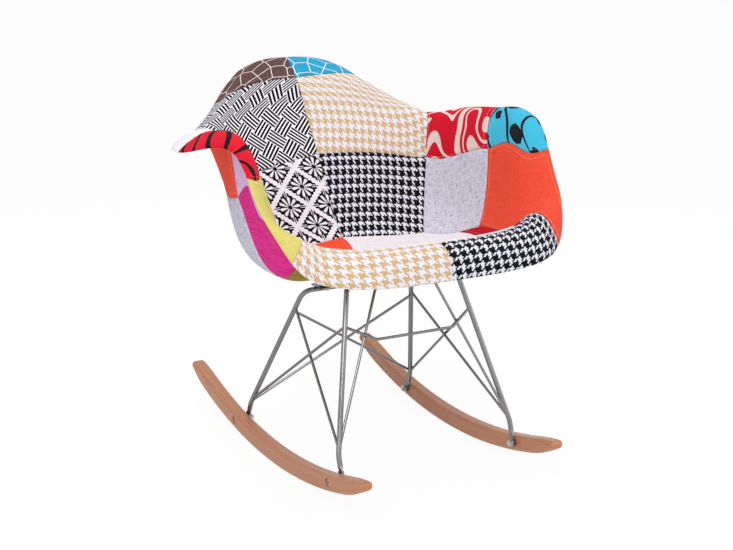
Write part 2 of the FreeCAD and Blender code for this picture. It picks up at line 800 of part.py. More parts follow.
class Nose:
    """One end of a rocker's side view: the floor line rises and the top line falls to a small round tip."""

    def __init__(self, end, top_centre, top_start):
        floor = size("rocker_radius")
        tip = size("rocker_tip") / 2
        tip_radius = floor - size("rocker_tip_rise")
        tip_centre = polar(floor_angle(end, size("rocker_reach") - tip, tip_radius), tip_radius)
        self.low = polar(floor_angle(end, size("rocker_reach") - size("rocker_nose"), floor), floor)
        self.high = top_start
        inward = (polar(0, 0) - self.low).normalize()
        reach = self.low - tip_centre
        low_radius = (tip ** 2 - reach.dot(reach)) / (2 * (inward.dot(reach) + tip))
        low_centre = self.low + inward * low_radius
        upward = (top_centre - self.high).normalize()
        reach = self.high - tip_centre
        high_radius = (reach.dot(reach) - tip ** 2) / (2 * (upward.dot(reach) - tip))
        high_centre = self.high - upward * high_radius
        self.tip_low = low_centre + (tip_centre - low_centre).normalize() * low_radius
        self.tip_high = high_centre + (tip_centre - high_centre).normalize() * high_radius
        self.low_middle = arc_middle(low_centre, self.low, self.tip_low)
        self.tip_middle = arc_middle(tip_centre, self.tip_low, self.tip_high)
        self.high_middle = arc_middle(high_centre, self.tip_high, self.high)


def rocker_outline():
    """Corners of the side view, in order round it, and a point on the arc after each corner."""
    floor = size("rocker_radius")
    top = floor - size("rocker_height")
    top_end = floor - size("rocker_end_height")
    angles = {end: floor_angle(end, size("rocker_reach") - size("rocker_nose"), top_end) for end in (-1, 1)}
    middle = (angles[-1] + angles[1]) / 2
    half = (angles[1] - angles[-1]) / 2
    lift = (top_end ** 2 - top ** 2) / (2 * (top - top_end * math.cos(half)))
    top_centre = polar(middle, -lift)
    rear, front = (Nose(end, top_centre, polar(angles[end], top_end)) for end in (1, -1))
    corners = [front.low, rear.low, rear.tip_low, rear.tip_high, rear.high, front.high, front.tip_high, front.tip_low]
    middles = [polar(middle, floor), rear.low_middle, rear.tip_middle, rear.high_middle,
               polar(middle, top), front.high_middle, front.tip_middle, front.low_middle]
    return corners, middles


def rocker_body(label):
    body = doc.addObject("PartDesign::Body", label + "_blank")
    sketch = body.newObject("Sketcher::SketchObject", label + "_side")
    plane = [item for item in body.Origin.OriginFeatures if item.Role == "YZ_Plane"][0]
    sketch.AttachmentSupport = (plane, "")
    sketch.MapMode = "FlatFace"
    corners, middles = rocker_outline()
    last = len(corners) - 1
    for index, middle in enumerate(middles):
        sketch.addGeometry(Part.Arc(corners[index], middle, corners[index + 1 if index < last else 0]))
    for index, corner in enumerate(corners):
        before = index - 1 if index else last
        ends = [1 if sketch.getPoint(line, 1).distanceToPoint(corner) < 0.01 else 2 for line in (before, index)]
        sketch.addConstraint(Sketcher.Constraint("Coincident", before, ends[0], index, ends[1]))
    pad = body.newObject("PartDesign::Pad", label + "_pad")
    pad.Profile = sketch
    pad.Midplane = True
    pad.setExpression("Length", "sizes.rocker_width")
    doc.recompute()
    half = size("rocker_width") / 2
    rim_edges = []
    for index, edge in enumerate(pad.Shape.Edges):
        if all(abs(abs(vertex.X) - half) < 0.01 for vertex in edge.Vertexes) and edge.BoundBox.XLength < 0.01:
            rim_edges.append("Edge%d" % (index + 1))
    rounds = body.newObject("PartDesign::Fillet", label + "_rounds")
    rounds.Base = (pad, rim_edges)
    rounds.setExpression("Radius", "sizes.rocker_round")
    return body


def bolt_centre(hoop, side, x):
    return Vector(side * x, hoop.foot.y, hoop.foot.z)


rocker_inner = size("rocker_x") - size("rocker_width") / 2
rocker_outer = size("rocker_x") + size("rocker_width") / 2
for name, side in SIDES.items():
    body = rocker_body("rocker_" + name)
    body.Placement = Placement(Vector(side * size("rocker_x"), 0, 0), Rotation())
    holes = []
    for hoop in (front, rear):
        hole = "rocker_%s_%s" % (name, hoop.end)
        outward = ACROSS * side
        holes.append(cylinder(hole + "_hole", "sizes.bolt_hole / 2", "2 * sizes.rocker_width",
                              bolt_centre(hoop, side, rocker_inner - size("rocker_width") / 2), outward))
        holes.append(cylinder(hole + "_counterbore", "sizes.counterbore / 2", "2 * sizes.counterbore_depth",
                              bolt_centre(hoop, side, rocker_outer - size("counterbore_depth")), outward))
    keep("rocker_" + name, cut("rocker_" + name, body, fused("rocker_%s_holes" % name, holes)))


# Hardware: one master of each kind, then placed copies in one node

def hexagon(across_flats, height, foot, axis):
    corner = across_flats / math.sqrt(3)
    turn = Rotation(Vector(0, 0, 1), axis)
    corners = []
    for index in range(7):
        angle = index * math.pi / 3
        corners.append(foot + turn.multVec(Vector(corner * math.cos(angle), corner * math.sin(angle), 0)))
    return Part.Face(Part.makePolygon(corners)).extrude(axis * height)


def socket_head(diameter, head_height, foot, axis):
    """Screw head with a hexagon socket, from its seat at foot along axis."""
    head = Part.makeCylinder(diameter / 2, head_height, foot, axis)
    socket = hexagon(size("hex_key"), size("hex_key_depth"), foot + axis * (head_height - size("hex_key_depth")), axis)
    return head.cut(socket)


eye_inner = front.foot_x - size("eye_thick") / 2
washer_inner = eye_inner - size("fit_gap") - size("washer_thick")
nut_inner = washer_inner - size("nut_height")
bolts = []
washers = []
nuts = []
for side in (-1, 1):
    outward = ACROSS * side
    for hoop in (front, rear):
        seat = bolt_centre(hoop, side, rocker_outer - size("counterbore_depth") + size("fit_gap"))
        tail = bolt_centre(hoop, side, nut_inner - size("bolt_tail"))
        shank = Part.makeCylinder(size("bolt") / 2, (seat - tail).Length, tail, outward)
        bolts.append(shank.fuse(socket_head(size("bolt_head"), size("bolt_head_height"), seat, outward)))
        washer_foot = bolt_centre(hoop, side, washer_inner)
        washer = Part.makeCylinder(size("washer") / 2, size("washer_thick"), washer_foot, outward)
        bore = size("bolt") / 2 + size("fit_gap")
        washers.append(washer.cut(Part.makeCylinder(bore, size("washer_thick"), washer_foot, outward)))
        nut_foot = bolt_centre(hoop, side, nut_inner)
        nut = hexagon(size("nut"), size("nut_height"), nut_foot, outward)
        nuts.append(nut.cut(Part.makeCylinder(size("bolt") / 2, size("nut_height"), nut_foot, outward)))
feature("rocker_bolts", Part.makeCompound(bolts))
feature("rocker_washers", Part.makeCompound(washers))
feature("rocker_nuts", Part.makeCompound(nuts))

tabs = []
pads = []
inserts = []
screws = []
for mount in mounts:
    along_tab = mount.bar_side
    length = along_tab.Length + 2 * size("tab_margin")
    lead = along_tab.normalize()
    side_way = mount.axis.cross(lead)
    corner = mount.tab_face - lead * size("tab_margin") - side_way * (size("tab_width") / 2)
    tab = Part.makeBox(length, size("tab_width"), size("tab_thick"))
    tab.Placement = Placement(corner, Rotation(lead, side_way, mount.axis, "XYZ"))
    tabs.append(tab.cut(mount.cylinder(size("bolt_hole"), size("tab_thick"), mount.tab_face)))
    pad = mount.cylinder(size("pad"), size("pad_thick"), mount.pad_face)
    pads.append(pad.cut(mount.cylinder(size("bolt_hole"), size("pad_thick"), mount.pad_face)))
    insert = mount.cylinder(size("insert"), size("insert_length"), mount.boss_face)
    inserts.append(insert.cut(mount.cylinder(size("screw"), size("insert_length"), mount.boss_face)))
    head_seat = mount.tab_face - mount.axis * size("fit_gap")
    reach = (mount.boss_face - head_seat).dot(mount.axis) + size("screw_bite")
    shank = mount.cylinder(size("screw"), reach, head_seat)
    screws.append(shank.fuse(socket_head(size("screw_head"), size("screw_head_height"), head_seat, -mount.axis)))
feature("mount_tabs", Part.makeCompound(tabs))
feature("shock_pads", Part.makeCompound(pads))
feature("threaded_inserts", Part.makeCompound(inserts))
feature("mount_screws", Part.makeCompound(screws))


# Check every object, then write one file for each sub-part

doc.recompute()
for item in doc.Objects:
    if "Invalid" in item.State or "Error" in item.State:
        raise RuntimeError("%s did not build" % item.Label)
os.makedirs("parts", exist_ok=True)
for label, item in nodes.items():
    shape = item.Shape
    if shape.isNull() or not shape.isValid():
        raise RuntimeError("%s has no valid shape" % label)
    if any(solid.Volume <= 0 for solid in shape.Solids) or not shape.Solids:
        raise RuntimeError("%s has no solid" % label)
    print("%-26s %d solids %10.0f mm3" % (label, len(shape.Solids), shape.Volume))
for label, item in nodes.items():
    item.Shape.exportStep("parts/%s.step" % label)
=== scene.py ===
import math

import bpy
import numpy as np
from mathutils import Matrix, Vector


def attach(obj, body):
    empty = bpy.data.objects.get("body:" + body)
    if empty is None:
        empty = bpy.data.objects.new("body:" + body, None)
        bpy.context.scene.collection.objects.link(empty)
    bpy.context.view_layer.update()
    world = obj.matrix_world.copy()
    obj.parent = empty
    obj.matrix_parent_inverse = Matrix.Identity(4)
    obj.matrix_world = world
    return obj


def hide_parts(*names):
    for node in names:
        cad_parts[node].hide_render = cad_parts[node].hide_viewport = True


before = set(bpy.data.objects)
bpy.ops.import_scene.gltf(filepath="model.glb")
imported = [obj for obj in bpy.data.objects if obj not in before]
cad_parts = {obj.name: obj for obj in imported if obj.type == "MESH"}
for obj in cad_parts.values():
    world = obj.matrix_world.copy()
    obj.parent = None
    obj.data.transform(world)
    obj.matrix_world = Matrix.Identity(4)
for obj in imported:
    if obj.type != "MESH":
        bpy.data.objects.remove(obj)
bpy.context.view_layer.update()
stageScene = bpy.context.scene
stageScene.view_settings.view_transform = "Standard"
print("frame loaded with", len(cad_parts), "solids")

# Bucket of the seat: ribs from the lip of the seat to the top of the back, in metres.
# Each rib: place along the middle, centre (y, z), half width of its flat,
# then its bend, shoulder and rim (x, y, z).
bucket = {
    "ribs": (
        (0, -0.281, 0.384, 0.090, 0.150, -0.279, 0.386, 0.192, -0.274, 0.393, 0.220, -0.253, 0.394),
        (0.09, -0.240, 0.437, 0.100, 0.185, -0.235, 0.437, 0.234, -0.234, 0.431, 0.258, -0.227, 0.419),
        (0.2, -0.152, 0.405, 0.131, 0.217, -0.166, 0.423, 0.237, -0.187, 0.472, 0.281, -0.189, 0.472),
        (0.3, -0.076, 0.374, 0.145, 0.231, -0.100, 0.355, 0.232, -0.126, 0.479, 0.292, -0.143, 0.524),
        (0.41, 0.011, 0.346, 0.160, 0.248, -0.026, 0.347, 0.250, -0.066, 0.639, 0.307, -0.079, 0.590),
        (0.51, 0.084, 0.359, 0.160, 0.232, 0.054, 0.354, 0.252, 0.028, 0.665, 0.341, 0.018, 0.572),
        (0.62, 0.141, 0.428, 0.155, 0.216, 0.116, 0.420, 0.234, 0.106, 0.640, 0.334, 0.102, 0.562),
        (0.73, 0.192, 0.504, 0.140, 0.214, 0.175, 0.513, 0.226, 0.165, 0.595, 0.277, 0.192, 0.552),
        (0.836, 0.242, 0.576, 0.110, 0.161, 0.237, 0.581, 0.193, 0.226, 0.586, 0.211, 0.237, 0.583),
        (0.926, 0.287, 0.637, 0.075, 0.109, 0.283, 0.634, 0.141, 0.280, 0.628, 0.160, 0.287, 0.614),
        (1, 0.329, 0.671, 0.045, 0.068, 0.328, 0.664, 0.087, 0.324, 0.659, 0.107, 0.319, 0.651),
    ),
    "fullDepth": 0.0185,  # inner cover to outer cover in the middle
    "rimDepth": 0.0040,  # the same at the rim
    "pinchWidth": 0.060,
    "normalStep": 0.01,
    "normalInset": 0.05,
    "samples": 61,
}


def splineTrack(stations, values):  # smooth line through the ribs, free at both ends
    gaps = np.diff(stations)
    rises = np.diff(values, axis=0) / gaps[:, None]
    count = len(stations)
    table = np.zeros((count, count))
    right = np.zeros_like(values)
    for end, part in ((0, slice(0, 4)), (count - 1, slice(count - 4, count))):
        table[end, end] = 1
        right[end] = np.polyfit(stations[part] - stations[end], values[part], 3)[2]
    for i in range(1, count - 1):
        table[i, i - 1] = 1 / gaps[i - 1]
        table[i, i] = 2 / gaps[i - 1] + 2 / gaps[i]
        table[i, i + 1] = 1 / gaps[i]
        right[i] = 3 * (rises[i - 1] / gaps[i - 1] + rises[i] / gaps[i])
    slopes = np.linalg.solve(table, right)

    def at(along):
        i = np.clip(np.searchsorted(stations, along, side="right") - 1, 0, count - 2)
        gap = gaps[i]
        part = ((along - stations[i]) / gap)[:, None]
        gap = gap[:, None]
        return ((2 * part**3 - 3 * part**2 + 1) * values[i] + (part**3 - 2 * part**2 + part) * gap * slopes[i]
                + (3 * part**2 - 2 * part**3) * values[i + 1] + (part**3 - part**2) * gap * slopes[i + 1])
    return at


ribTable = np.array(bucket["ribs"])
poleTrack = splineTrack(ribTable[:, 0], ribTable[:, 1:])


def bucketPoint(across, along):
    poles = poleTrack(along)
    zero = np.zeros(len(along))
    centre = np.stack([zero, poles[:, 0], poles[:, 1]], 1)
    flat = np.stack([poles[:, 2], poles[:, 0], poles[:, 1]], 1)
    bend, shoulder, rim = poles[:, 3:6], poles[:, 6:9], poles[:, 9:12]
    middle = (flat + 2 * bend + shoulder) / 4
    reach = np.abs(across)
    low = (reach < 0.5)[:, None]
    part = np.where(reach < 0.5, 2 * reach, 2 * reach - 1)[:, None]
    first = np.where(low, centre, middle)
    second = np.where(low, flat, (bend + shoulder) / 2)
    third = np.where(low, (flat + bend) / 2, shoulder)
    last = np.where(low, middle, rim)
    rest = 1 - part
    point = rest**3 * first + 3 * rest**2 * part * second + 3 * rest * part**2 * third + part**3 * last
    point[:, 0] *= np.where(across < 0, -1, 1)
    return point


def bucketNormal(across, along):  # towards the sitter
    step = bucket["normalStep"]
    inset = bucket["normalInset"]
    across = across * (1 - inset)
    along = inset / 2 + along * (1 - inset)
    sideways = bucketPoint(across + step, along) - bucketPoint(across - step, along)
    lengthways = bucketPoint(across, along + step) - bucketPoint(across, along - step)
    normal = np.cross(sideways, lengthways)
    return normal / np.linalg.norm(normal, axis=1, keepdims=True)


def runLengths(points):
    steps = np.linalg.norm(np.diff(points, axis=0), axis=1)
    return np.concatenate([[0], np.cumsum(steps)])


ribSamples = np.linspace(0, 1, bucket["samples"])
ribLengths = np.array([runLengths(bucketPoint(ribSamples, np.full_like(ribSamples, along)))[-1]
                       for along in ribSamples])
profileLength = runLengths(bucketPoint(np.zeros_like(ribSamples), ribSamples))[-1]


def paddingDepth(across, along):  # from the inner cover to the outer cover
    def ease(distance):
        return 1 - (1 - np.minimum(distance / bucket["pinchWidth"], 1)) ** 3
    fullness = ease((1 - np.abs(across)) * np.interp(along, ribSamples, ribLengths))
    fullness = fullness * ease(np.minimum(along, 1 - along) * profileLength)
    return bucket["rimDepth"] + (bucket["fullDepth"] - bucket["rimDepth"]) * fullness


print("bucket middle is %.4f m long" % profileLength)


# Seams: lines through two or three places (across, along) on the bucket
def seam(*places):
    last = len(places) - 1

    def at(part):
        across = 0
        along = 0
        for index, place in enumerate(places):
            weight = 1
            for other in range(len(places)):
                if other != index:
                    weight *= (part * last - other) / (index - other)
            across += weight * place[0]
            along += weight * place[1]
        return across, along
    return at


def chain(first, second, share=0.5):
    def at(part):
        if part < share:
            return first(part / share)
        return second((part - share) / (1 - share))
    return at


def backwards(line):
    return lambda part: line(1 - part)


def cornerRim(side, edge, sideEnd, share):
    return chain(seam((0, edge), (side, edge)), seam((side, edge), (side, sideEnd)), share)


def stretchOf(line, first, last):  # part of a seam between two shares of its run
    return lambda part: line(first + (last - first) * part)


lipCentre, topCentre, frontCentre = (0, 0), (0, 1), (0, 0.105)
seatBack, backMiddle, backHigh = (0, 0.53), (0, 0.733), (0, 0.926)
frontFork = 2 / 3  # share of the front seam that lies before its fork with the seat


def innerSeams(side, places):
    backFoot, backFork, backRim = (side * 0.25, places["backFoot"]), (side * 0.49, 0.658), (side, 0.78)
    armFoot, armFork, armRear = (side * 0.435, 0.398), (side * 0.68, 0.463), (side, 0.545)
    armFront, rearArmFront = (side, 0.337), (side, 0.36)
    footFork, frontRim = (side * 0.635, 0.247), (side, places["frontRim"])
    topFoot, topRim, sliver = (side, places["topFoot"]), (side, places["topRim"]), (side * 0.36, 0.44)
    front = seam(frontCentre, (side * 0.22, 0.116), (side * 0.43, 0.153), footFork)
    lines = {
        "centreTop": seam(backHigh, topCentre),
        "centreUpper": seam(backMiddle, backHigh),
        "centreLower": seam(seatBack, backMiddle),
        "centreFront": seam(frontCentre, lipCentre),
        "top": seam(backHigh, (side * 0.52, places["topBow"]), topFoot),
        "topRim": cornerRim(side, 1, topRim[1], 0.6),
        "topEnd": seam(topFoot, topRim),
        "row": seam(backMiddle, (side * 0.25, places["rowBow"]), backFork),
        "rowCorner": seam(backFork, (side * 0.625, 0.55), armFork),
        "backUpper": seam(backFork, (side * 0.65, 0.713), backRim),
        "upperRim": seam(backRim, topFoot),
        "backLower": seam(backFoot, (side * 0.357, 0.587), backFork),
        "seatRear": seam(seatBack, backFoot),
        "cornerRim": seam(backRim, armRear),
        "armUpper": seam(armFork, (side * 0.785, 0.497), armRear),
        "armLower": seam(armFoot, (side * 0.568, 0.43), armFork),
        "cornerFoot": seam(backFoot, armFoot),
        "cornerFootRear": seam(backFoot, sliver),
        "cornerFootFront": seam(sliver, armFoot),
        "armEdge": seam(armFork, (side * 0.83, 0.37), armFront),
        "armRim": seam(armRear, rearArmFront),
        "armTip": seam(armFront, rearArmFront),
        "footRear": seam(armFoot, footFork),
        "footFront": seam(footFork, (side * 0.78, places["footBow"]), frontRim),
        "armFrontRim": seam(frontRim, armFront),
        "front": front,
        "frontInner": stretchOf(front, 0, frontFork),
        "frontOuter": stretchOf(front, frontFork, 1),
        "frontRim": cornerRim(side, 0, frontRim[1], 0.85),
        "seatEdgeShort": seam(sliver, (side * 0.43, 0.29), front(frontFork)),
        "seatEdgeLong": seam(seatBack, (side * 0.07, 0.38), front(frontFork)),
    }
    lines["foot"] = chain(lines["footRear"], lines["footFront"], 0.4)
    lines["upperSide"] = chain(lines["backUpper"], lines["upperRim"], 0.7)
    return lines


def outerSeams(side):
    underCentre, underRear, backCentre = (0, 0.36), (0, 0.52), (0, 0.73)
    underFork, rearFork, sideFork = (side * 0.36, 0.36), (side * 0.25, 0.52), (side * 0.615, 0.453)
    backFork, backRim = (side * 0.50, 0.66), (side, 0.78)
    armRimRear, armRimFront, sideRim, frontRim = (side, 0.41), (side, 0.39), (side, 0.24), (side, 0.10)
    armColumn = seam(armRimRear, (side * 0.80, 0.45), sideFork)
    return {
        "armRim": seam(armRimRear, armRimFront),
        "armFrontRim": seam(armRimFront, sideRim),
        "armColumn": armColumn,
        "armColumnUp": backwards(armColumn),
        "armFoot": seam(sideFork, sideRim),
        "rearRim": seam(armRimRear, backRim),
        "rearFoot": seam(sideFork, (side * 0.565, 0.55), backFork),
        "rearColumn": seam(backFork, backRim),
        "sideColumn": seam(underFork, (side * 0.505, 0.40), sideFork),
        "sideFoot": seam(underFork, rearFork),
        "sideBack": seam(rearFork, backFork),
        "frontFoot": seam(underFork, (side * 0.62, 0.22), frontRim),
        "frontSideRim": seam(frontRim, sideRim),
        "underCross": seam(underCentre, underFork),
        "underMiddle": seam(underCentre, lipCentre),
        "lip": cornerRim(side, 0, frontRim[1], 0.8),
        "rearCross": seam(underRear, rearFork),
        "backMiddle": seam(underRear, backCentre),
        "backRow": seam(backCentre, backFork),
        "backTop": seam(backCentre, topCentre),
        "top": cornerRim(side, 1, backRim[1], 0.35),
    }


# Each patch lies between four seams: start, end, left, right
patchSeams = {}
innerPatches = {
    "inner_back_top_": ("centreTop", "topEnd", "top", "topRim"),
    "inner_back_upper_": ("row", "top", "centreUpper", "upperSide"),
    "inner_back_lower_": ("seatRear", "row", "centreLower", "backLower"),
    "inner_corner_upper_": ("rowCorner", "cornerRim", "backUpper", "armUpper"),
    "inner_corner_lower_": ("cornerFoot", "rowCorner", "backLower", "armLower"),
    "inner_arm_top_": ("armUpper", "armTip", "armEdge", "armRim"),
    "inner_arm_front_": ("armLower", "armFrontRim", "foot", "armEdge"),
    "inner_seat_front_": ("centreFront", "footFront", "front", "frontRim"),
}
outerPatches = {
    "outer_arm_front_": ("armRim", "armFoot", "armColumn", "armFrontRim"),
    "outer_arm_rear_": ("armColumnUp", "rearColumn", "rearFoot", "rearRim"),
    "outer_side_rear_": ("sideColumn", "sideBack", "sideFoot", "rearFoot"),
    "outer_side_front_": ("sideColumn", "frontSideRim", "frontFoot", "armFoot"),
    "outer_under_front_": ("underCross", "lip", "underMiddle", "frontFoot"),
    "outer_back_lower_": ("rearCross", "backRow", "backMiddle", "sideBack"),
    "outer_back_upper_": ("backRow", "top", "backTop", "rearColumn"),
}


def layPatches(hands, patches):
    for hand, line in hands.items():
        for name, sides in patches.items():
            patchSeams[name + hand] = [line[side] for side in sides]


inner = {
    "right": innerSeams(1, {"backFoot": 0.505, "topBow": 0.938, "topFoot": 0.945, "topRim": 0.972,
                            "rowBow": 0.712, "footBow": 0.13, "frontRim": 0.052}),
    "left": innerSeams(-1, {"backFoot": 0.49, "topBow": 0.911, "topFoot": 0.888, "topRim": 0.935,
                            "rowBow": 0.696, "footBow": 0.165, "frontRim": 0.113}),
}
layPatches(inner, innerPatches)
left, right = inner["left"], inner["right"]
patchSeams["inner_seat_side_right"] = (right["cornerFootFront"], right["frontOuter"],
                                       right["seatEdgeShort"], right["footRear"])
patchSeams["inner_seat_side_left"] = (left["seatRear"], left["frontOuter"], left["seatEdgeLong"],
                                      chain(left["cornerFoot"], left["footRear"], 0.4))
patchSeams["inner_seat_centre"] = (right["seatRear"],
                                   chain(backwards(left["frontInner"]), right["frontInner"]),
                                   left["seatEdgeLong"],
                                   chain(right["cornerFootRear"], right["seatEdgeShort"], 0.2))
outer = {"left": outerSeams(-1), "right": outerSeams(1)}
layPatches(outer, outerPatches)
patchSeams["outer_under_rear"] = (chain(backwards(outer["left"]["underCross"]), outer["right"]["underCross"]),
                                  chain(backwards(outer["left"]["rearCross"]), outer["right"]["rearCross"]),
                                  outer["left"]["sideFoot"], outer["right"]["sideFoot"])


def patchPlaces(seams, columns, rows):
    start, end, left, right = seams
    corners = np.array([[start(0), start(1)], [end(0), end(1)]])
    starts = np.array([start(u) for u in columns])[None]
    ends = np.array([end(u) for u in columns])[None]
    lefts = np.array([left(v) for v in rows])[:, None]
    rights = np.array([right(v) for v in rows])[:, None]
    u = columns[None, :, None]
    v = rows[:, None, None]
    bilinear = ((1 - v) * ((1 - u) * corners[0, 0] + u * corners[0, 1])
                + v * ((1 - u) * corners[1, 0] + u * corners[1, 1]))
    places = (1 - u) * lefts + u * rights + (1 - v) * starts + v * ends - bilinear
    return np.clip(places[..., 0], -1, 1), np.clip(places[..., 1], 0, 1)


# Cover patches: one sewn piece of cloth each, rolled down at its seams and filled out by the padding
cover = {
    "mesh": 0.0055,  # spacing of the cloth grid
    "edgeRows": (0.0, 0.0011, 0.0024, 0.0040, 0.0062),  # rows beside a seam
    "seamSink": 0.0019,
    "rollWidth": 0.0070,
    "crown": 0.0012,
    "pucker": 0.00022,
    "puckerPitch": 0.0115,
    "puckerSway": 2.1,  # how unevenly the puckers follow one another
    "swayRate": 61,
    "puckerStart": 0.003,
    "puckerFade": 0.009,
    "cloth": 0.0022,  # thickness shown at the seams
    "tuck": 0.0040,  # how far the outer covers stay back from the rim
    "cap": 0.0028,  # farthest that the padding may push the cloth
    "pinWidth": 0.0030,
    "frames": 20,
}
clothFeel = {
    "quality": 6,
    "mass": 0.3,
    "tension_stiffness": 25,
    "compression_stiffness": 25,
    "shear_stiffness": 10,
    "bending_stiffness": 1.0,
    "vertex_group_mass": "seams",
    "shrink_min": -0.004,
    "use_pressure": True,
    "uniform_pressure_force": 3.0,
}


def edgedRows(length):  # places from 0 to 1, closer together beside both seams
    edge = np.array(cover["edgeRows"])
    inside = length - 2 * edge[-1]
    if inside < 3 * cover["mesh"]:
        return np.linspace(0, 1, 9)
    middle = np.linspace(edge[-1], length - edge[-1], max(4, round(inside / cover["mesh"])) + 1)
    return np.concatenate([edge[:-1], middle, (length - edge[:-1])[::-1]]) / length


def gridPoints(seams, columns, rows, tuck=0.0):
    across, along = patchPlaces(seams, columns, rows)
    flatAlong = np.clip(along.ravel(), tuck / profileLength, 1 - tuck / profileLength)
    reach = 1 - tuck / np.interp(flatAlong, ribSamples, ribLengths)
    flatAcross = np.clip(across.ravel(), -reach, reach)
    shape = across.shape + (3,)
    point = bucketPoint(flatAcross, flatAlong).reshape(shape)
    normal = bucketNormal(flatAcross, flatAlong).reshape(shape)
    depth = paddingDepth(flatAcross, flatAlong).reshape(across.shape)
    return point, normal, depth


def gridLengths(point):  # running lengths along the rows and along the columns
    rowSteps = np.linalg.norm(np.diff(point, axis=1), axis=2)
    columnSteps = np.linalg.norm(np.diff(point, axis=0), axis=2)
    rowRuns = np.concatenate([np.zeros((point.shape[0], 1)), np.cumsum(rowSteps, axis=1)], axis=1)
    columnRuns = np.concatenate([np.zeros((1, point.shape[1])), np.cumsum(columnSteps, axis=0)], axis=0)
    return rowRuns, columnRuns


def coverGrid(name, seams):
    coarse = np.linspace(0, 1, 25)
    rowRuns, columnRuns = gridLengths(gridPoints(seams, coarse, coarse)[0])
    columns = edgedRows(np.mean(rowRuns[:, -1]))
    rows = edgedRows(np.mean(columnRuns[-1]))
    outside = name.startswith("outer")
    point, normal, depth = gridPoints(seams, columns, rows, cover["tuck"] if outside else 0.0)
    if outside:
        point = point - normal * depth[..., None]
        normal = -normal
    rowRuns, columnRuns = gridLengths(point)
    fromLeft, fromRight = rowRuns, rowRuns[:, -1:] - rowRuns
    fromStart, fromEnd = columnRuns, columnRuns[-1:] - columnRuns
    distances = np.stack([fromLeft, fromRight, fromStart, fromEnd])
    distance = distances.min(axis=0)
    alongSeam = np.where(distances.argmin(axis=0) < 2, columnRuns, rowRuns)
    roll = (1 - np.minimum(distance / cover["rollWidth"], 1)) ** 2
    u, v = columns[None], rows[:, None]
    phase = sum(map(ord, name)) % 7
    sway = cover["puckerSway"] * np.sin(alongSeam * cover["swayRate"] + phase)
    wave = np.sin(alongSeam * 2 * math.pi / cover["puckerPitch"] + phase + sway)
    fade = np.exp(-distance / cover["puckerFade"]) * np.minimum(distance / cover["puckerStart"], 1)
    height = (cover["crown"] * 16 * u * (1 - u) * v * (1 - v) - cover["seamSink"] * roll
              + cover["pucker"] * wave * fade)
    middleRow, middleColumn = len(rows) // 2, len(columns) // 2
    across = np.cross(point[middleRow, middleColumn + 1] - point[middleRow, middleColumn],
                      point[middleRow + 1, middleColumn] - point[middleRow, middleColumn])
    return {
        "name": name,
        "top": point + normal * height[..., None],
        "back": point - normal * (cover["seamSink"] + cover["cloth"]),
        "normal": normal,
        "distance": distance,
        "columns": columns,
        "rows": rows,
        "uv": np.stack([rowRuns - rowRuns[:, middleColumn:middleColumn + 1],
                        columnRuns - columnRuns[middleRow:middleRow + 1]], 2),
        "flip": float(np.dot(across, normal[middleRow, middleColumn])) < 0,
    }


grids = [coverGrid(name, seams) for name, seams in patchSeams.items()]
print("cover has", len(grids), "patches and", sum(grid["distance"].size for grid in grids), "cloth points")


def gridQuads(grid):
    rows, columns = grid["distance"].shape
    index = np.arange(rows * columns).reshape(rows, columns)
    quads = np.stack([index[:-1, :-1], index[:-1, 1:], index[1:, 1:], index[1:, :-1]], -1).reshape(-1, 4)
    ring = np.concatenate([index[0, :-1], index[:-1, -1], index[-1, :0:-1], index[:0:-1, 0]])
    return quads, ring


def fillCovers(grids):  # the padding presses the pinned cloth outwards
    points = np.concatenate([grid["top"].reshape(-1, 3) for grid in grids])
    quads = []
    pins = []
    start = 0
    for grid in grids:
        part = gridQuads(grid)[0] + start
        quads.append(part[:, ::-1] if grid["flip"] else part)
        pins.append(np.where(grid["distance"].ravel() < cover["pinWidth"])[0] + start)
        start += grid["distance"].size
    mesh = bpy.data.meshes.new("coverCloth")
    mesh.from_pydata(points.tolist(), [], np.concatenate(quads).tolist())
    cloth = bpy.data.objects.new("coverCloth", mesh)
    stageScene.collection.objects.link(cloth)
    cloth.vertex_groups.new(name="seams").add(np.concatenate(pins).tolist(), 1.0, "REPLACE")
    sim = cloth.modifiers.new("padding", "CLOTH")
    for key, value in clothFeel.items():
        setattr(sim.settings, key, value)
    sim.settings.effector_weights.gravity = 0
    sim.collision_settings.use_collision = False
    sim.point_cache.frame_start = 1
    sim.point_cache.frame_end = cover["frames"]
    for number in range(1, cover["frames"] + 1):
        stageScene.frame_set(number)
    filled = cloth.evaluated_get(bpy.context.evaluated_depsgraph_get()).to_mesh()
    moved = np.empty(len(points) * 3)
    filled.vertices.foreach_get("co", moved)
    move = np.nan_to_num(moved.reshape(-1, 3) - points)
    bpy.data.objects.remove(cloth)
    stageScene.frame_set(1)
    length = np.linalg.norm(move, axis=1, keepdims=True)
    move *= cover["cap"] * np.tanh(length / cover["cap"]) / np.maximum(length, 1e-9)
    start = 0
    for grid in grids:
        size = grid["distance"].size
        grid["top"] = grid["top"] + move[start:start + size].reshape(grid["top"].shape)
        start += size
    print("padding moved the cloth by up to %.1f mm" % (1000 * np.linalg.norm(move, axis=1).max()))


fillCovers(grids)


# Shader node helpers
def put(tree, kind, values=(), **settings):
    node = tree.nodes.new("ShaderNode" + kind)
    for key, value in settings.items():
        setattr(node, key, value)
    for key, value in dict(values).items():
        if isinstance(value, bpy.types.NodeSocket):
            tree.links.new(value, node.inputs[key])
        else:
            node.inputs[key].default_value = value
    return node


def calc(tree, operation, *values):
    return put(tree, "Math", enumerate(values), operation=operation).outputs[0]


def mixed(tree, factor, first, second, blend="MIX"):
    node = put(tree, "Mix", {0: factor, 6: first, 7: second}, data_type="RGBA", blend_type=blend)
    return node.outputs[2]


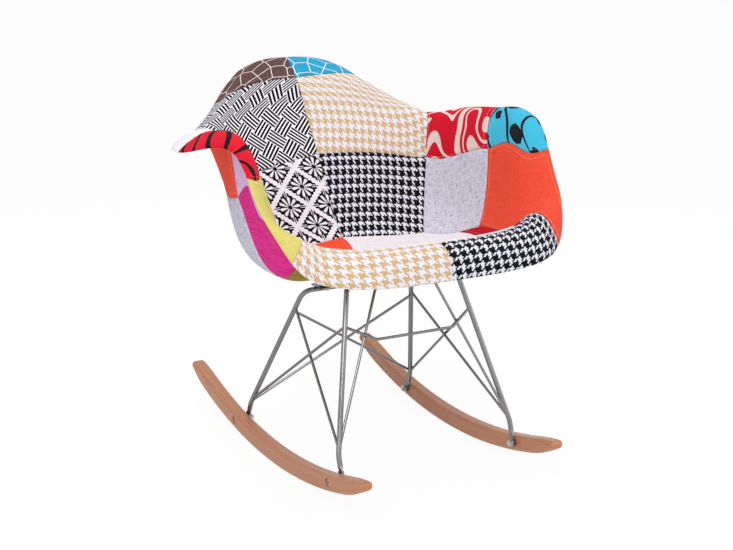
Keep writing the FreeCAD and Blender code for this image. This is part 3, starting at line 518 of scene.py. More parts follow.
def mapped(tree, value, low, high, newLow, newHigh):
    return put(tree, "MapRange", {0: value, 1: low, 2: high, 3: newLow, 4: newHigh}).outputs[0]


def objectPlace(tree):
    return put(tree, "TexCoord").outputs["Object"]


def newMaterial(name):
    material = bpy.data.materials.new(name)
    material.use_nodes = True
    return material, material.node_tree, material.node_tree.nodes["Principled BSDF"]


def setRelief(tree, shader, height, strength, distance):
    bump = put(tree, "Bump", {"Height": height, "Strength": strength, "Distance": distance})
    tree.links.new(bump.outputs[0], shader.inputs["Normal"])


def colour(red, green, blue):
    shares = [channel / 255 for channel in (red, green, blue)]
    return tuple(s / 12.92 if s <= 0.04045 else ((s + 0.055) / 1.055) ** 2.4 for s in shares) + (1.0,)


def newGroup(name, inputs, outputs):
    tree = bpy.data.node_groups.new(name, "ShaderNodeTree")
    for label, kind, value in inputs:
        socket = tree.interface.new_socket(label, in_out="INPUT", socket_type="NodeSocket" + kind)
        if value is not None:
            socket.default_value = value
    for label in outputs:
        tree.interface.new_socket(label, in_out="OUTPUT", socket_type="NodeSocketFloat")
    return tree, tree.nodes.new("NodeGroupInput").outputs, tree.nodes.new("NodeGroupOutput").inputs


def splitPlace(tree, place, size):  # place counted in repeats of the given size
    parts = put(tree, "SeparateXYZ", {0: place})
    return calc(tree, "DIVIDE", parts.outputs[0], size), calc(tree, "DIVIDE", parts.outputs[1], size)


def noiseAt(tree, place, scale, detail=2.0, roughness=0.5, distortion=0.0):
    node = put(tree, "TexNoise", {"Vector": place, "Scale": scale, "Detail": detail, "Roughness": roughness,
                                  "Distortion": distortion}, noise_dimensions="2D")
    return node.outputs[0]


def stretched(tree, place, x, y):
    return put(tree, "VectorMath", {0: place, 1: (x, y, 1.0)}, operation="MULTIPLY").outputs[0]


def drifted(tree, place, x, y):
    drift = put(tree, "CombineXYZ", {0: x, 1: y}).outputs[0]
    return put(tree, "VectorMath", {0: place, 1: drift}, operation="ADD").outputs[0]


def choose(tree, mask, whenOff, whenOn):
    node = put(tree, "Mix", {0: mask, 2: whenOff, 3: whenOn}, data_type="FLOAT")
    return node.outputs[0]


def threadRound(tree, run):  # rounded top of each thread
    return calc(tree, "ABSOLUTE", calc(tree, "SINE", calc(tree, "MULTIPLY", run, math.pi)))


def oddCell(tree, x, y):
    cell = calc(tree, "ADD", calc(tree, "FLOOR", x), calc(tree, "FLOOR", y))
    return calc(tree, "FLOORED_MODULO", cell, 2.0)


def fromMiddle(tree, run):  # distance from the middle of the repeat
    return calc(tree, "SUBTRACT", calc(tree, "FRACT", run), 0.5)


def makePlainWeave():  # threads over and under one another, with painted shade where they dip
    tree, given, out = newGroup("plainWeave", (("Place", "Vector", None), ("Thread", "Float", 0.001)),
                                ("Height", "Shade"))
    x, y = splitPlace(tree, given["Place"], given["Thread"])
    warp = threadRound(tree, x)
    weft = threadRound(tree, y)
    over = oddCell(tree, x, y)
    warpTop = calc(tree, "MULTIPLY", warp, calc(tree, "MULTIPLY_ADD", weft, 0.5, 0.5))
    weftTop = calc(tree, "MULTIPLY", weft, calc(tree, "MULTIPLY_ADD", warp, 0.5, 0.5))
    height = choose(tree, over, warpTop, weftTop)
    tree.links.new(height, out["Height"])
    # painted shade: the colour is darker where a thread dips under the crossing one
    tree.links.new(calc(tree, "MULTIPLY_ADD", height, 0.30, 0.80), out["Shade"])
    return tree


def makeYarnMottle():  # uneven dye and yarn
    tree, given, out = newGroup("yarnMottle", (("Place", "Vector", None), ("Grain", "Float", 0.003),
                                               ("Amount", "Float", 0.1)), ("Shade",))
    fine = noiseAt(tree, given["Place"], calc(tree, "DIVIDE", 1.0, given["Grain"]), 3.0, 0.65)
    broad = noiseAt(tree, given["Place"], calc(tree, "DIVIDE", 0.09, given["Grain"]), 2.0)
    both = calc(tree, "ADD", calc(tree, "MULTIPLY", fine, 1.4), calc(tree, "MULTIPLY", broad, 0.6))
    strength = calc(tree, "MULTIPLY", given["Amount"], 2.0)
    swing = calc(tree, "MULTIPLY", calc(tree, "SUBTRACT", both, 1.0), strength)
    tree.links.new(calc(tree, "ADD", swing, 1.0), out["Shade"])
    return tree


def makeSlubs():  # thick and thin yarn along both ways of the cloth
    tree, given, out = newGroup("slubs", (("Place", "Vector", None), ("Thread", "Float", 0.0018)),
                                ("Figure",))
    finest = calc(tree, "DIVIDE", 1.0, given["Thread"])
    warp = noiseAt(tree, stretched(tree, given["Place"], 1.0, 0.09), finest, 1.0)
    weft = noiseAt(tree, stretched(tree, given["Place"], 0.09, 1.0), finest, 1.0)
    tree.links.new(calc(tree, "MAXIMUM", warp, weft), out["Figure"])
    return tree


def makeHoundstooth():  # dark and light threads each way in a two and two twill
    tree, given, out = newGroup("houndstooth", (("Place", "Vector", None), ("Check", "Float", 0.0150),
                                                ("Tall", "Float", 1.28), ("Dark", "Float", 4.0)),
                                ("Figure", "Height"))
    x, level = splitPlace(tree, given["Place"], calc(tree, "DIVIDE", given["Check"], 8.0))
    y = calc(tree, "DIVIDE", level, given["Tall"])
    column, row = calc(tree, "FLOOR", x), calc(tree, "FLOOR", y)
    warpDark = calc(tree, "LESS_THAN", calc(tree, "FLOORED_MODULO", column, 8.0), given["Dark"])
    weftDark = calc(tree, "LESS_THAN", calc(tree, "FLOORED_MODULO", row, 8.0), given["Dark"])
    warpUp = calc(tree, "LESS_THAN", calc(tree, "FLOORED_MODULO", calc(tree, "ADD", column, row), 4.0), 2.0)
    tree.links.new(choose(tree, warpUp, weftDark, warpDark), out["Figure"])
    warp = threadRound(tree, x)
    weft = threadRound(tree, y)
    tree.links.new(choose(tree, warpUp, weft, warp), out["Height"])
    return tree


def makeBasket():  # ribbons of four lines over and under one another
    tree, given, out = newGroup("basket", (("Place", "Vector", None), ("Pitch", "Float", 0.029),
                                           ("Ribbon", "Float", 0.79)), ("Figure", "Height"))
    x, y = splitPlace(tree, given["Place"], given["Pitch"])
    a = fromMiddle(tree, x)
    b = fromMiddle(tree, y)
    half = calc(tree, "MULTIPLY", given["Ribbon"], 0.5)
    level = calc(tree, "LESS_THAN", calc(tree, "ABSOLUTE", b), half)
    upright = calc(tree, "LESS_THAN", calc(tree, "ABSOLUTE", a), half)
    odd = oddCell(tree, x, y)
    levelUnder = calc(tree, "MULTIPLY", level, calc(tree, "SUBTRACT", 1.0, upright))
    uprightUnder = calc(tree, "MULTIPLY", upright, calc(tree, "SUBTRACT", 1.0, level))
    levelTop = choose(tree, odd, level, levelUnder)
    uprightTop = choose(tree, odd, uprightUnder, upright)

    def lines(offset):
        share = calc(tree, "ADD", calc(tree, "DIVIDE", offset, given["Ribbon"]), 0.5)
        run = calc(tree, "FRACT", calc(tree, "MULTIPLY", share, 4.0))
        return calc(tree, "LESS_THAN", calc(tree, "ABSOLUTE", calc(tree, "SUBTRACT", run, 0.5)), 0.30)
    levelLines = calc(tree, "MULTIPLY", levelTop, lines(b))
    uprightLines = calc(tree, "MULTIPLY", uprightTop, lines(a))
    tree.links.new(calc(tree, "ADD", levelLines, uprightLines), out["Figure"])
    tree.links.new(calc(tree, "ADD", levelTop, uprightTop), out["Height"])
    return tree


def makeFlowerTile():  # dark tiles with an open flower, parted by plain bands
    tree, given, out = newGroup("flowerTile", (("Place", "Vector", None), ("Tile", "Float", 0.05)),
                                ("Figure",))
    x, y = splitPlace(tree, given["Place"], given["Tile"])
    a = fromMiddle(tree, x)
    b = fromMiddle(tree, y)
    farA, farB = calc(tree, "ABSOLUTE", a), calc(tree, "ABSOLUTE", b)
    scallopA, scallopB = (calc(tree, "COSINE", calc(tree, "MULTIPLY", run, 44.0)) for run in (a, b))
    scallop = calc(tree, "MULTIPLY", calc(tree, "ADD", scallopA, scallopB), 0.012)
    tile = calc(tree, "LESS_THAN", calc(tree, "SUBTRACT", calc(tree, "MAXIMUM", farA, farB), scallop), 0.405)
    reach = calc(tree, "SQRT", calc(tree, "ADD", calc(tree, "MULTIPLY", a, a), calc(tree, "MULTIPLY", b, b)))
    angle = calc(tree, "MULTIPLY", calc(tree, "ARCTAN2", b, a), 5.0)
    turn = calc(tree, "ABSOLUTE", calc(tree, "COSINE", angle))
    petalEnd = calc(tree, "MULTIPLY", calc(tree, "POWER", turn, 0.4), 0.38)
    inPetal = calc(tree, "LESS_THAN", reach, petalEnd)
    pastHeart = calc(tree, "GREATER_THAN", reach, 0.075)
    petal = calc(tree, "MULTIPLY", inPetal, pastHeart)
    petal = calc(tree, "MULTIPLY", petal, calc(tree, "GREATER_THAN", turn, 0.66))
    diagonal = calc(tree, "ABSOLUTE", calc(tree, "SUBTRACT", farA, farB))
    corner = calc(tree, "GREATER_THAN", calc(tree, "ADD", farA, farB), 0.52)
    leaf = calc(tree, "LESS_THAN", calc(tree, "ABSOLUTE", calc(tree, "SUBTRACT", diagonal, 0.045)), 0.016)
    leaf = calc(tree, "MULTIPLY", leaf, corner)
    light = calc(tree, "MAXIMUM", petal, leaf)
    tree.links.new(calc(tree, "MULTIPLY", tile, calc(tree, "SUBTRACT", 1.0, light)), out["Figure"])
    return tree


def makeCrackle():  # thin lines round uneven cells
    tree, given, out = newGroup("crackle", (("Place", "Vector", None), ("Cell", "Float", 0.035),
                                            ("Line", "Float", 0.0016)), ("Figure",))
    warpX = noiseAt(tree, given["Place"], 30.0)
    warpY = noiseAt(tree, stretched(tree, given["Place"], -1.0, 1.3), 30.0)
    place = drifted(tree, given["Place"],
                    calc(tree, "MULTIPLY", warpX, 0.003), calc(tree, "MULTIPLY", warpY, 0.003))
    scale = calc(tree, "DIVIDE", 1.0, given["Cell"])
    cells = put(tree, "TexVoronoi", {"Vector": stretched(tree, place, 1.0, 0.72), "Scale": scale},
                voronoi_dimensions="2D", feature="DISTANCE_TO_EDGE")
    edge = calc(tree, "MULTIPLY", cells.outputs["Distance"], given["Cell"])
    tree.links.new(calc(tree, "LESS_THAN", edge, calc(tree, "MULTIPLY", given["Line"], 0.5)), out["Figure"])
    return tree


def makeContours():  # winding bands that follow one level of a slow noise
    tree, given, out = newGroup("contours", (("Place", "Vector", None), ("Size", "Float", 0.06),
                                             ("Bands", "Float", 2.0), ("Share", "Float", 0.4),
                                             ("Twist", "Float", 0.5)), ("Figure",))
    height = noiseAt(tree, given["Place"], calc(tree, "DIVIDE", 1.0, given["Size"]), 0.0, 0.5, given["Twist"])
    run = calc(tree, "FRACT", calc(tree, "MULTIPLY", height, calc(tree, "MULTIPLY", given["Bands"], 2.0)))
    away = calc(tree, "MULTIPLY", calc(tree, "ABSOLUTE", calc(tree, "SUBTRACT", run, 0.5)), 2.0)
    tree.links.new(calc(tree, "LESS_THAN", away, given["Share"]), out["Figure"])
    return tree


def makeBlots():  # round blots of uneven size with a few thin strokes
    tree, given, out = newGroup("blots", (("Place", "Vector", None), ("Size", "Float", 0.05)), ("Figure",))
    drift = noiseAt(tree, given["Place"], 45.0)
    place = drifted(tree, given["Place"],
                    calc(tree, "MULTIPLY", drift, 0.012), calc(tree, "MULTIPLY", drift, -0.010))
    cells = put(tree, "TexVoronoi", {"Vector": place, "Scale": calc(tree, "DIVIDE", 1.0, given["Size"])},
                voronoi_dimensions="2D", feature="F1")
    tint = put(tree, "SeparateXYZ", {0: cells.outputs["Color"]}).outputs[0]
    blot = calc(tree, "LESS_THAN", cells.outputs["Distance"], calc(tree, "MULTIPLY_ADD", tint, 0.34, 0.12))
    height = noiseAt(tree, given["Place"], calc(tree, "DIVIDE", 0.62, given["Size"]), 0.0)
    stroke = calc(tree, "LESS_THAN", calc(tree, "ABSOLUTE", calc(tree, "SUBTRACT", height, 0.52)), 0.020)
    tree.links.new(calc(tree, "MAXIMUM", blot, stroke), out["Figure"])
    return tree


clothGroups = {
    "plainWeave": makePlainWeave(),
    "yarnMottle": makeYarnMottle(),
    "slubs": makeSlubs(),
    "houndstooth": makeHoundstooth(),
    "basket": makeBasket(),
    "flowerTile": makeFlowerTile(),
    "crackle": makeCrackle(),
    "contours": makeContours(),
    "blots": makeBlots(),
}
print("cloth node groups:", len(clothGroups))


def placeGroup(tree, name, **values):
    node = tree.nodes.new("ShaderNodeGroup")
    node.node_tree = clothGroups[name]
    for key, value in values.items():
        if isinstance(value, bpy.types.NodeSocket):
            tree.links.new(value, node.inputs[key])
        else:
            node.inputs[key].default_value = value
    return node.outputs


# Fabrics of the patchwork: ground and figure colours, the pattern and its size, thread size in metres
fabrics = {
    "brownCrackle": {"slot": "brown_crackle", "ground": (96, 70, 68), "figure": (236, 228, 226),
                     "pattern": "crackle", "values": {"Cell": 0.024, "Line": 0.0012},
                     "thread": 0.0013, "mottle": 0.16},
    "blueCrackle": {"slot": "blue_crackle", "ground": (44, 158, 198), "figure": (232, 240, 246),
                    "pattern": "crackle", "values": {"Cell": 0.023, "Line": 0.0013},
                    "thread": 0.0013, "mottle": 0.12},
    "tanHoundstooth": {"slot": "tan_houndstooth", "ground": (229, 228, 236), "figure": (206, 172, 128),
                       "pattern": "houndstooth", "values": {"Check": 0.0151},
                       "thread": 0.0020, "mottle": 0.08},
    "blackHoundstooth": {"slot": "black_houndstooth", "ground": (224, 224, 236), "figure": (6, 6, 9),
                         "pattern": "houndstooth", "values": {"Check": 0.0149, "Dark": 5.0},
                         "thread": 0.0020, "mottle": 0.06},
    "basketWeave": {"slot": "basket_weave", "ground": (238, 236, 244), "figure": (12, 12, 16),
                    "pattern": "basket", "values": {"Pitch": 0.0310, "Ribbon": 0.86},
                    "thread": 0.0012, "mottle": 0.05},
    "flowerTile": {"slot": "flower_tile", "ground": (234, 230, 238), "figure": (10, 10, 13),
                   "pattern": "flowerTile", "values": {"Tile": 0.056},
                   "thread": 0.0012, "mottle": 0.06},
    "redSwirl": {"slot": "red_swirl", "ground": (206, 16, 40), "figure": (228, 208, 202),
                 "pattern": "contours", "values": {"Size": 0.085, "Bands": 2.2, "Share": 0.36, "Twist": 0.9},
                 "thread": 0.0012, "mottle": 0.10},
    "turquoiseBlot": {"slot": "turquoise_blot", "ground": (66, 188, 220), "figure": (24, 24, 34),
                      "pattern": "blots", "values": {"Size": 0.060},
                      "thread": 0.0012, "mottle": 0.08},
    "redStripe": {"slot": "red_stripe", "ground": (222, 24, 48), "figure": (22, 14, 18),
                  "pattern": "contours", "values": {"Size": 0.17, "Bands": 3.4, "Share": 0.24, "Twist": 0.3},
                  "thread": 0.0012, "mottle": 0.08},
    "whiteLineWeave": {"slot": "white_line_weave", "ground": (244, 240, 244), "figure": (232, 150, 168),
                       "pattern": "contours",
                       "values": {"Size": 0.05, "Bands": 1.5, "Share": 0.06, "Twist": 0.2},
                       "thread": 0.0012, "mottle": 0.04},
    "greyLinen": {"slot": "grey_linen", "ground": (212, 211, 226), "figure": (146, 145, 166),
                  "pattern": "slubs", "values": {"Thread": 0.0015},
                  "thread": 0.0018, "mottle": 0.10},
    "orangeWeave": {"slot": "orange_weave", "ground": (236, 82, 56), "figure": (226, 66, 50),
                    "pattern": "slubs", "values": {"Thread": 0.0012},
                    "thread": 0.0014, "mottle": 0.10},
    "darkRedWeave": {"slot": "dark_red_weave", "ground": (188, 16, 34), "figure": (172, 12, 30),
                     "pattern": "slubs", "values": {"Thread": 0.0022},
                     "thread": 0.0014, "mottle": 0.10},
    "yellowGreenWeave": {"slot": "yellow_green_weave", "ground": (218, 206, 116), "figure": (206, 194, 102),
                         "pattern": "slubs", "values": {"Thread": 0.0022},
                         "thread": 0.0013, "mottle": 0.07},
    "magentaWeave": {"slot": "magenta_weave", "ground": (226, 44, 144), "figure": (190, 26, 112),
                     "pattern": "slubs", "values": {"Thread": 0.0040},
                     "thread": 0.0022, "mottle": 0.20},
    "lilacWeave": {"slot": "lilac_weave", "ground": (216, 184, 222), "figure": (186, 150, 194),
                   "pattern": "slubs", "values": {"Thread": 0.0040},
                   "thread": 0.0026, "mottle": 0.16},
    "oliveGoldWeave": {"slot": "olive_gold_weave", "ground": (162, 132, 58), "figure": (130, 102, 42),
                       "pattern": "slubs", "values": {"Thread": 0.0040},
                       "thread": 0.0022, "mottle": 0.20},
    "paleWeave": {"slot": "pale_weave", "ground": (234, 229, 233), "figure": (220, 212, 217),
                  "pattern": "slubs", "values": {"Thread": 0.0018},
                  "thread": 0.0016, "mottle": 0.05},
}
slubBlend = (0.56, 0.80)  # slubs show softly between these levels of their pattern


def makeFabric(name, fabric, turn):
    material, tree, shader = newMaterial(name)
    uv = put(tree, "UVMap", uv_map="cloth")
    rotation = (0, 0, math.radians(turn))
    turned = put(tree, "Mapping", {"Vector": uv.outputs[0], "Rotation": rotation}).outputs[0]
    weave = placeGroup(tree, "plainWeave", Place=turned, Thread=fabric["thread"])
    mottle = placeGroup(tree, "yarnMottle", Place=turned, Grain=fabric["thread"] * 2.2,
                        Amount=fabric["mottle"])
    pattern = placeGroup(tree, fabric["pattern"], Place=turned, **fabric["values"])
    figure = pattern["Figure"]
    if fabric["pattern"] == "slubs":
        figure = mapped(tree, figure, *slubBlend, 0.0, 1.0)
    base = mixed(tree, figure, colour(*fabric["ground"]), colour(*fabric["figure"]))
    # painted shade between the threads of the weave, times the uneven dye of the yarn, darkens the base
    # colour
    shade = calc(tree, "MULTIPLY", weave["Shade"], mottle["Shade"])
    weaveShadeAndDyeMottle = put(tree, "CombineXYZ", {0: shade, 1: shade, 2: shade}).outputs[0]
    base = mixed(tree, 1.0, base, weaveShadeAndDyeMottle, "MULTIPLY")
    tree.links.new(base, shader.inputs["Base Color"])
    height = weave["Height"]
    if "Height" in pattern.keys():
        height = calc(tree, "ADD", calc(tree, "MULTIPLY", height, 0.4), pattern["Height"])
    height = calc(tree, "ADD", height, calc(tree, "MULTIPLY", mottle["Shade"], 0.8))
    setRelief(tree, shader, height, 0.45, 0.0006)
    rough = mapped(tree, mottle["Shade"], 0.8, 1.2, 0.96, 0.80)
    tree.links.new(rough, shader.inputs["Roughness"])
    shader.inputs["Sheen Weight"].default_value = 0.02
    shader.inputs["Sheen Roughness"].default_value = 0.5
    shader.inputs["Specular IOR Level"].default_value = 0.12
    return material


# Which fabric each patch is cut from, and how far its weave is turned, in degrees
patchFabric = {
    "inner_back_top_right": ("blueCrackle", 0), "inner_back_top_left": ("brownCrackle", 0),
    "inner_back_upper_right": ("tanHoundstooth", 0), "inner_back_upper_left": ("basketWeave", -52),
    "inner_back_lower_right": ("blackHoundstooth", 0), "inner_back_lower_left": ("flowerTile", 35),
    "inner_corner_upper_right": ("redSwirl", 0), "inner_corner_upper_left": ("whiteLineWeave", 0),
    "inner_corner_lower_right": ("greyLinen", 0), "inner_corner_lower_left": ("greyLinen", 0),
    "inner_arm_top_right": ("turquoiseBlot", 0), "inner_arm_top_left": ("redStripe", 0),
    "inner_arm_front_right": ("orangeWeave", 0), "inner_arm_front_left": ("yellowGreenWeave", 0),
    "inner_seat_side_right": ("darkRedWeave", 0), "inner_seat_side_left": ("orangeWeave", 0),
    "inner_seat_front_right": ("blackHoundstooth", 0), "inner_seat_front_left": ("tanHoundstooth", 0),
    "inner_seat_centre": ("paleWeave", 45),
    "outer_arm_rear_left": ("orangeWeave", 0), "outer_arm_front_left": ("lilacWeave", 0),
    "outer_side_rear_left": ("greyLinen", 0), "outer_side_front_left": ("magentaWeave", 0),
    "outer_under_front_left": ("oliveGoldWeave", 0), "outer_back_lower_left": ("blackHoundstooth", 0),
    "outer_back_upper_left": ("yellowGreenWeave", 0),
    "outer_arm_rear_right": ("lilacWeave", 0), "outer_arm_front_right": ("yellowGreenWeave", 0),
    "outer_side_rear_right": ("tanHoundstooth", 0), "outer_side_front_right": ("orangeWeave", 0),
    "outer_under_front_right": ("greyLinen", 0), "outer_back_lower_right": ("magentaWeave", 0),
    "outer_back_upper_right": ("tanHoundstooth", 0), "outer_under_rear": ("greyLinen", 0),
}


def meshPiece(name, points, faces, material):
    mesh = bpy.data.meshes.new(name)
    mesh.from_pydata(points, [], faces)
    mesh.polygons.foreach_set("use_smooth", np.ones(len(mesh.polygons), dtype=bool))
    mesh.materials.append(material)
    piece = bpy.data.objects.new(name, mesh)
    stageScene.collection.objects.link(piece)
    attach(piece, "root")
    return piece


def closedFaces(grid):
    quads, ring = gridQuads(grid)
    count = grid["distance"].size
    following = np.roll(ring, -1)
    walls = np.stack([following, ring, ring + count, following + count], 1)
    faces = np.concatenate([quads, quads[:, ::-1] + count, walls])
    return faces[:, ::-1] if grid["flip"] else faces


def sewCover(grid):
    fabricName, turn = patchFabric[grid["name"]]
    fabric = fabrics[fabricName]
    material = makeFabric(fabricName + "_" + grid["name"], fabric, turn)
    points = np.concatenate([grid["top"].reshape(-1, 3), grid["back"].reshape(-1, 3)])
    piece = meshPiece("cover_" + grid["name"], points.tolist(), closedFaces(grid).tolist(), material)
    layer = piece.data.uv_layers.new(name="cloth")
    loops = np.empty(len(piece.data.loops), dtype=int)
    piece.data.loops.foreach_get("vertex_index", loops)
    flat = grid["uv"].reshape(-1, 2)
    layer.data.foreach_set("uv", flat[loops % len(flat)].ravel())
    rounding = piece.modifiers.new("rounding", "SUBSURF")
    rounding.levels = 1
    rounding.render_levels = 1
    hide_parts(grid["name"])
    return piece


covers = {grid["name"]: sewCover(grid) for grid in grids}
print("sewn covers:", len(covers))


# Foam under the inner covers, seen only as a dark line in the seams
padding = {
    "columns": 61,
    "rows": 61,
    "inset": 0.012,
    "top": 0.0045,  # below the inner cover, at most
    "topShare": 0.4,
    "share": 0.55,  # part of the depth that ends the foam
    "least": 0.0005,
}


def layFoam():
    columns = np.linspace(-1, 1, padding["columns"])
    rows = np.linspace(padding["inset"], 1 - padding["inset"], padding["rows"])
    across, along = np.meshgrid(columns, rows)
    across = across * (1 - padding["inset"] / np.interp(along, ribSamples, ribLengths))
    flatAcross, flatAlong = across.ravel(), along.ravel()
    shape = across.shape + (3,)
    point = bucketPoint(flatAcross, flatAlong).reshape(shape)
    normal = bucketNormal(flatAcross, flatAlong).reshape(shape)
    depth = paddingDepth(flatAcross, flatAlong).reshape(across.shape)[..., None]
    top = np.minimum(padding["top"], depth * padding["topShare"])
    bottom = np.maximum(depth * padding["share"], top + padding["least"])
    foamGrid = {"distance": across, "flip": False}
    points = np.concatenate([(point - normal * level).reshape(-1, 3) for level in (top, bottom)])
    material, tree, shader = newMaterial("foam")
    cells = put(tree, "TexVoronoi", {"Vector": objectPlace(tree), "Scale": 700.0})
    tone = mixed(tree, cells.outputs["Distance"], colour(120, 110, 96), colour(186, 174, 150))
    tree.links.new(tone, shader.inputs["Base Color"])
    setRelief(tree, shader, cells.outputs["Distance"], 0.5, 0.0008)
    shader.inputs["Roughness"].default_value = 0.95
    piece = meshPiece("seatPadding", points.tolist(), closedFaces(foamGrid).tolist(), material)
    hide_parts("inner_foam")


layFoam()


# Topstitching: short raised stitches beside a seam
stitch = {
    "length": 0.0030,
    "pitch": 0.0040,
    "width": 0.0005,
    "height": 0.00030,
    "lift": 0.0001,
    "inset": 0.0060,  # from the seam
    "sides": 6,
    "rings": ((-0.5, 0.25), (-0.28, 0.9), (0.0, 1.0), (0.28, 0.9), (0.5, 0.25)),  # place along it, fullness
    "ends": (0.03, 0.97),  # share of the seam that is stitched
    "samples": 161,
    "margin": 0.02,
}
stitchedSeams = {
    "inner_arm_front_right": ("start", "end", "left", "right"),
    "inner_corner_upper_right": ("left", "right", "start"),
    "inner_arm_top_right": ("start", "left"),
    "inner_arm_top_left": ("start", "left"),
    "inner_arm_front_left": ("left", "right"),
    "inner_seat_side_right": ("left",),
    "inner_seat_side_left": ("right", "left"),
    "inner_back_top_left": ("left", "start"),
    "inner_back_top_right": ("left",),
    "outer_arm_rear_left": ("left", "start"),
    "outer_arm_rear_right": ("left", "start"),
    "outer_side_front_right": ("left", "right"),
    "outer_back_upper_left": ("left", "start"),
    "outer_back_upper_right": ("left", "start"),
}
threadColours = {"light": (244, 214, 198), "red": (238, 150, 150), "grey": (206, 206, 216)}
threadOf = {"inner_arm_top_left": "red", "inner_seat_side_right": "red", "inner_back_top_left": "grey",
            "inner_back_top_right": "grey"}


def makeThread(name, shade):
    material, tree, shader = newMaterial("thread_" + name)
    twist = put(tree, "TexNoise", {"Vector": objectPlace(tree), "Scale": 2500.0, "Detail": 1.0}).outputs[0]
    dark = tuple(channel * 0.72 for channel in shade)
    tree.links.new(mixed(tree, twist, colour(*dark), colour(*shade)), shader.inputs["Base Color"])
    setRelief(tree, shader, twist, 0.4, 0.0002)
    shader.inputs["Roughness"].default_value = 0.55
    shader.inputs["Sheen Weight"].default_value = 0.2
    return material


threads = {name: makeThread(name, shade) for name, shade in threadColours.items()}


def onGrid(grid, field, u, v):  # value of a field of the cloth at the given part of its width and height
    columns, rows = grid["columns"], grid["rows"]
    i = int(np.clip(np.searchsorted(columns, u) - 1, 0, len(columns) - 2))
    j = int(np.clip(np.searchsorted(rows, v) - 1, 0, len(rows) - 2))
    a = (u - columns[i]) / (columns[i + 1] - columns[i])
    b = (v - rows[j]) / (rows[j + 1] - rows[j])
    low = field[j, i] * (1 - a) + field[j, i + 1] * a
    high = field[j + 1, i] * (1 - a) + field[j + 1, i + 1] * a
    return low * (1 - b) + high * b


def stitchPath(grid, side):
    rowRuns, columnRuns = gridLengths(grid["top"])
    path = []
    low, high = stitch["margin"], 1 - stitch["margin"]
    for part in np.linspace(*stitch["ends"], stitch["samples"]):
        width = np.interp(part, grid["rows"], rowRuns[:, -1])
        height = np.interp(part, grid["columns"], columnRuns[-1])
        place = {
            "left": (stitch["inset"] / width, part),
            "right": (1 - stitch["inset"] / width, part),
            "start": (part, stitch["inset"] / height),
            "end": (part, 1 - stitch["inset"] / height),
        }[side]
        if low < place[0] < high and low < place[1] < high:
            path.append((onGrid(grid, grid["top"], *place), onGrid(grid, grid["normal"], *place)))
    return np.array([p for p, n in path]), np.array([n for p, n in path])


def oneStitch(centre, ahead, up, first):  # points and faces of a closed stitch
    ahead = ahead / np.linalg.norm(ahead)
    aside = np.cross(ahead, up)
    aside /= np.linalg.norm(aside)
    up = np.cross(aside, ahead)
    sides = stitch["sides"]
    points = []
    for offset, swell in stitch["rings"]:
        for number in range(sides):
            angle = 2 * math.pi * number / sides
            point = (centre + ahead * offset * stitch["length"]
                     + aside * math.cos(angle) * swell * stitch["width"] / 2
                     + up * (math.sin(angle) * swell * stitch["height"] + stitch["lift"]))
            points.append(tuple(point))
    lastRing = len(stitch["rings"]) - 1
    faces = []
    for ring in range(lastRing):
        for number in range(sides):
            a = first + ring * sides + number
            b = first + ring * sides + (number + 1) % sides
            faces.append((a, b, b + sides, a + sides))
    faces.append(tuple(first + number for number in reversed(range(sides))))
    faces.append(tuple(first + lastRing * sides + number for number in range(sides)))
    return points, faces


def atRun(runs, field, run):
    return np.array([np.interp(run, runs, field[:, axis]) for axis in range(3)])


def sewStitches(name):
    grid = next(grid for grid in grids if grid["name"] == name)
    half = stitch["length"] / 2
    points = []
    faces = []
    for side in stitchedSeams[name]:
        path, normals = stitchPath(grid, side)
        runs = runLengths(path)
        for middle in np.arange(stitch["pitch"], runs[-1] - stitch["pitch"], stitch["pitch"]):
            ahead = atRun(runs, path, middle + half) - atRun(runs, path, middle - half)
            made = oneStitch(atRun(runs, path, middle), ahead, atRun(runs, normals, middle), len(points))
            points += made[0]
            faces += made[1]
    piece = meshPiece("stitches_" + name, points, faces, threads[threadOf.get(name, "light")])


for name in stitchedSeams:
    sewStitches(name)
print("topstitched patches:", len(stitchedSeams))


# Base: bright rods and wires, beech rockers, zinc hardware, moulded shell
def dressNode(name, material):
    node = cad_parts[name]
    node.data.materials.clear()
    node.data.materials.append(material)


def makeBrightRod():
    material, tree, shader = newMaterial("brightRod")
    place = objectPlace(tree)
    cloud = put(tree, "TexNoise", {"Vector": place, "Scale": 22.0, "Detail": 3.0}).outputs[0]
    draw = put(tree, "TexNoise", {"Vector": place, "Scale": 900.0, "Detail": 2.0}).outputs[0]
    # painted reflection: the steel's colour turns near-black towards the rod's edges, standing in for dark
    # surroundings mirrored in it
    paintedEdgeReflection = put(tree, "LayerWeight", {"Blend": 0.35}).outputs["Facing"]
    bright = mixed(tree, cloud, (0.21, 0.205, 0.21, 1), (0.32, 0.31, 0.32, 1))
    tree.links.new(mixed(tree, paintedEdgeReflection, bright, (0.025, 0.025, 0.028, 1)), shader.inputs["Base Color"])
    rough = mapped(tree, cloud, 0.3, 0.7, 0.16, 0.30)
    tree.links.new(rough, shader.inputs["Roughness"])
    setRelief(tree, shader, draw, 0.08, 0.0002)
    shader.inputs["Metallic"].default_value = 1.0
    return material


def makeZincHardware():
    material, tree, shader = newMaterial("zincHardware")
    place = objectPlace(tree)
    spangle = put(tree, "TexVoronoi", {"Vector": place, "Scale": 420.0}).outputs["Color"]
    grey = put(tree, "SeparateXYZ", {0: spangle}).outputs[0]
    tone = mixed(tree, grey, (0.44, 0.45, 0.46, 1), (0.56, 0.57, 0.58, 1))
    tree.links.new(tone, shader.inputs["Base Color"])
    tree.links.new(mapped(tree, grey, 0.0, 1.0, 0.28, 0.42), shader.inputs["Roughness"])
    shader.inputs["Metallic"].default_value = 1.0
    return material


rocker = {"lowY": 0.0063, "radius": 0.950,
          "ground": (182, 121, 83), "grain": (166, 105, 69), "fleck": (142, 86, 55)}


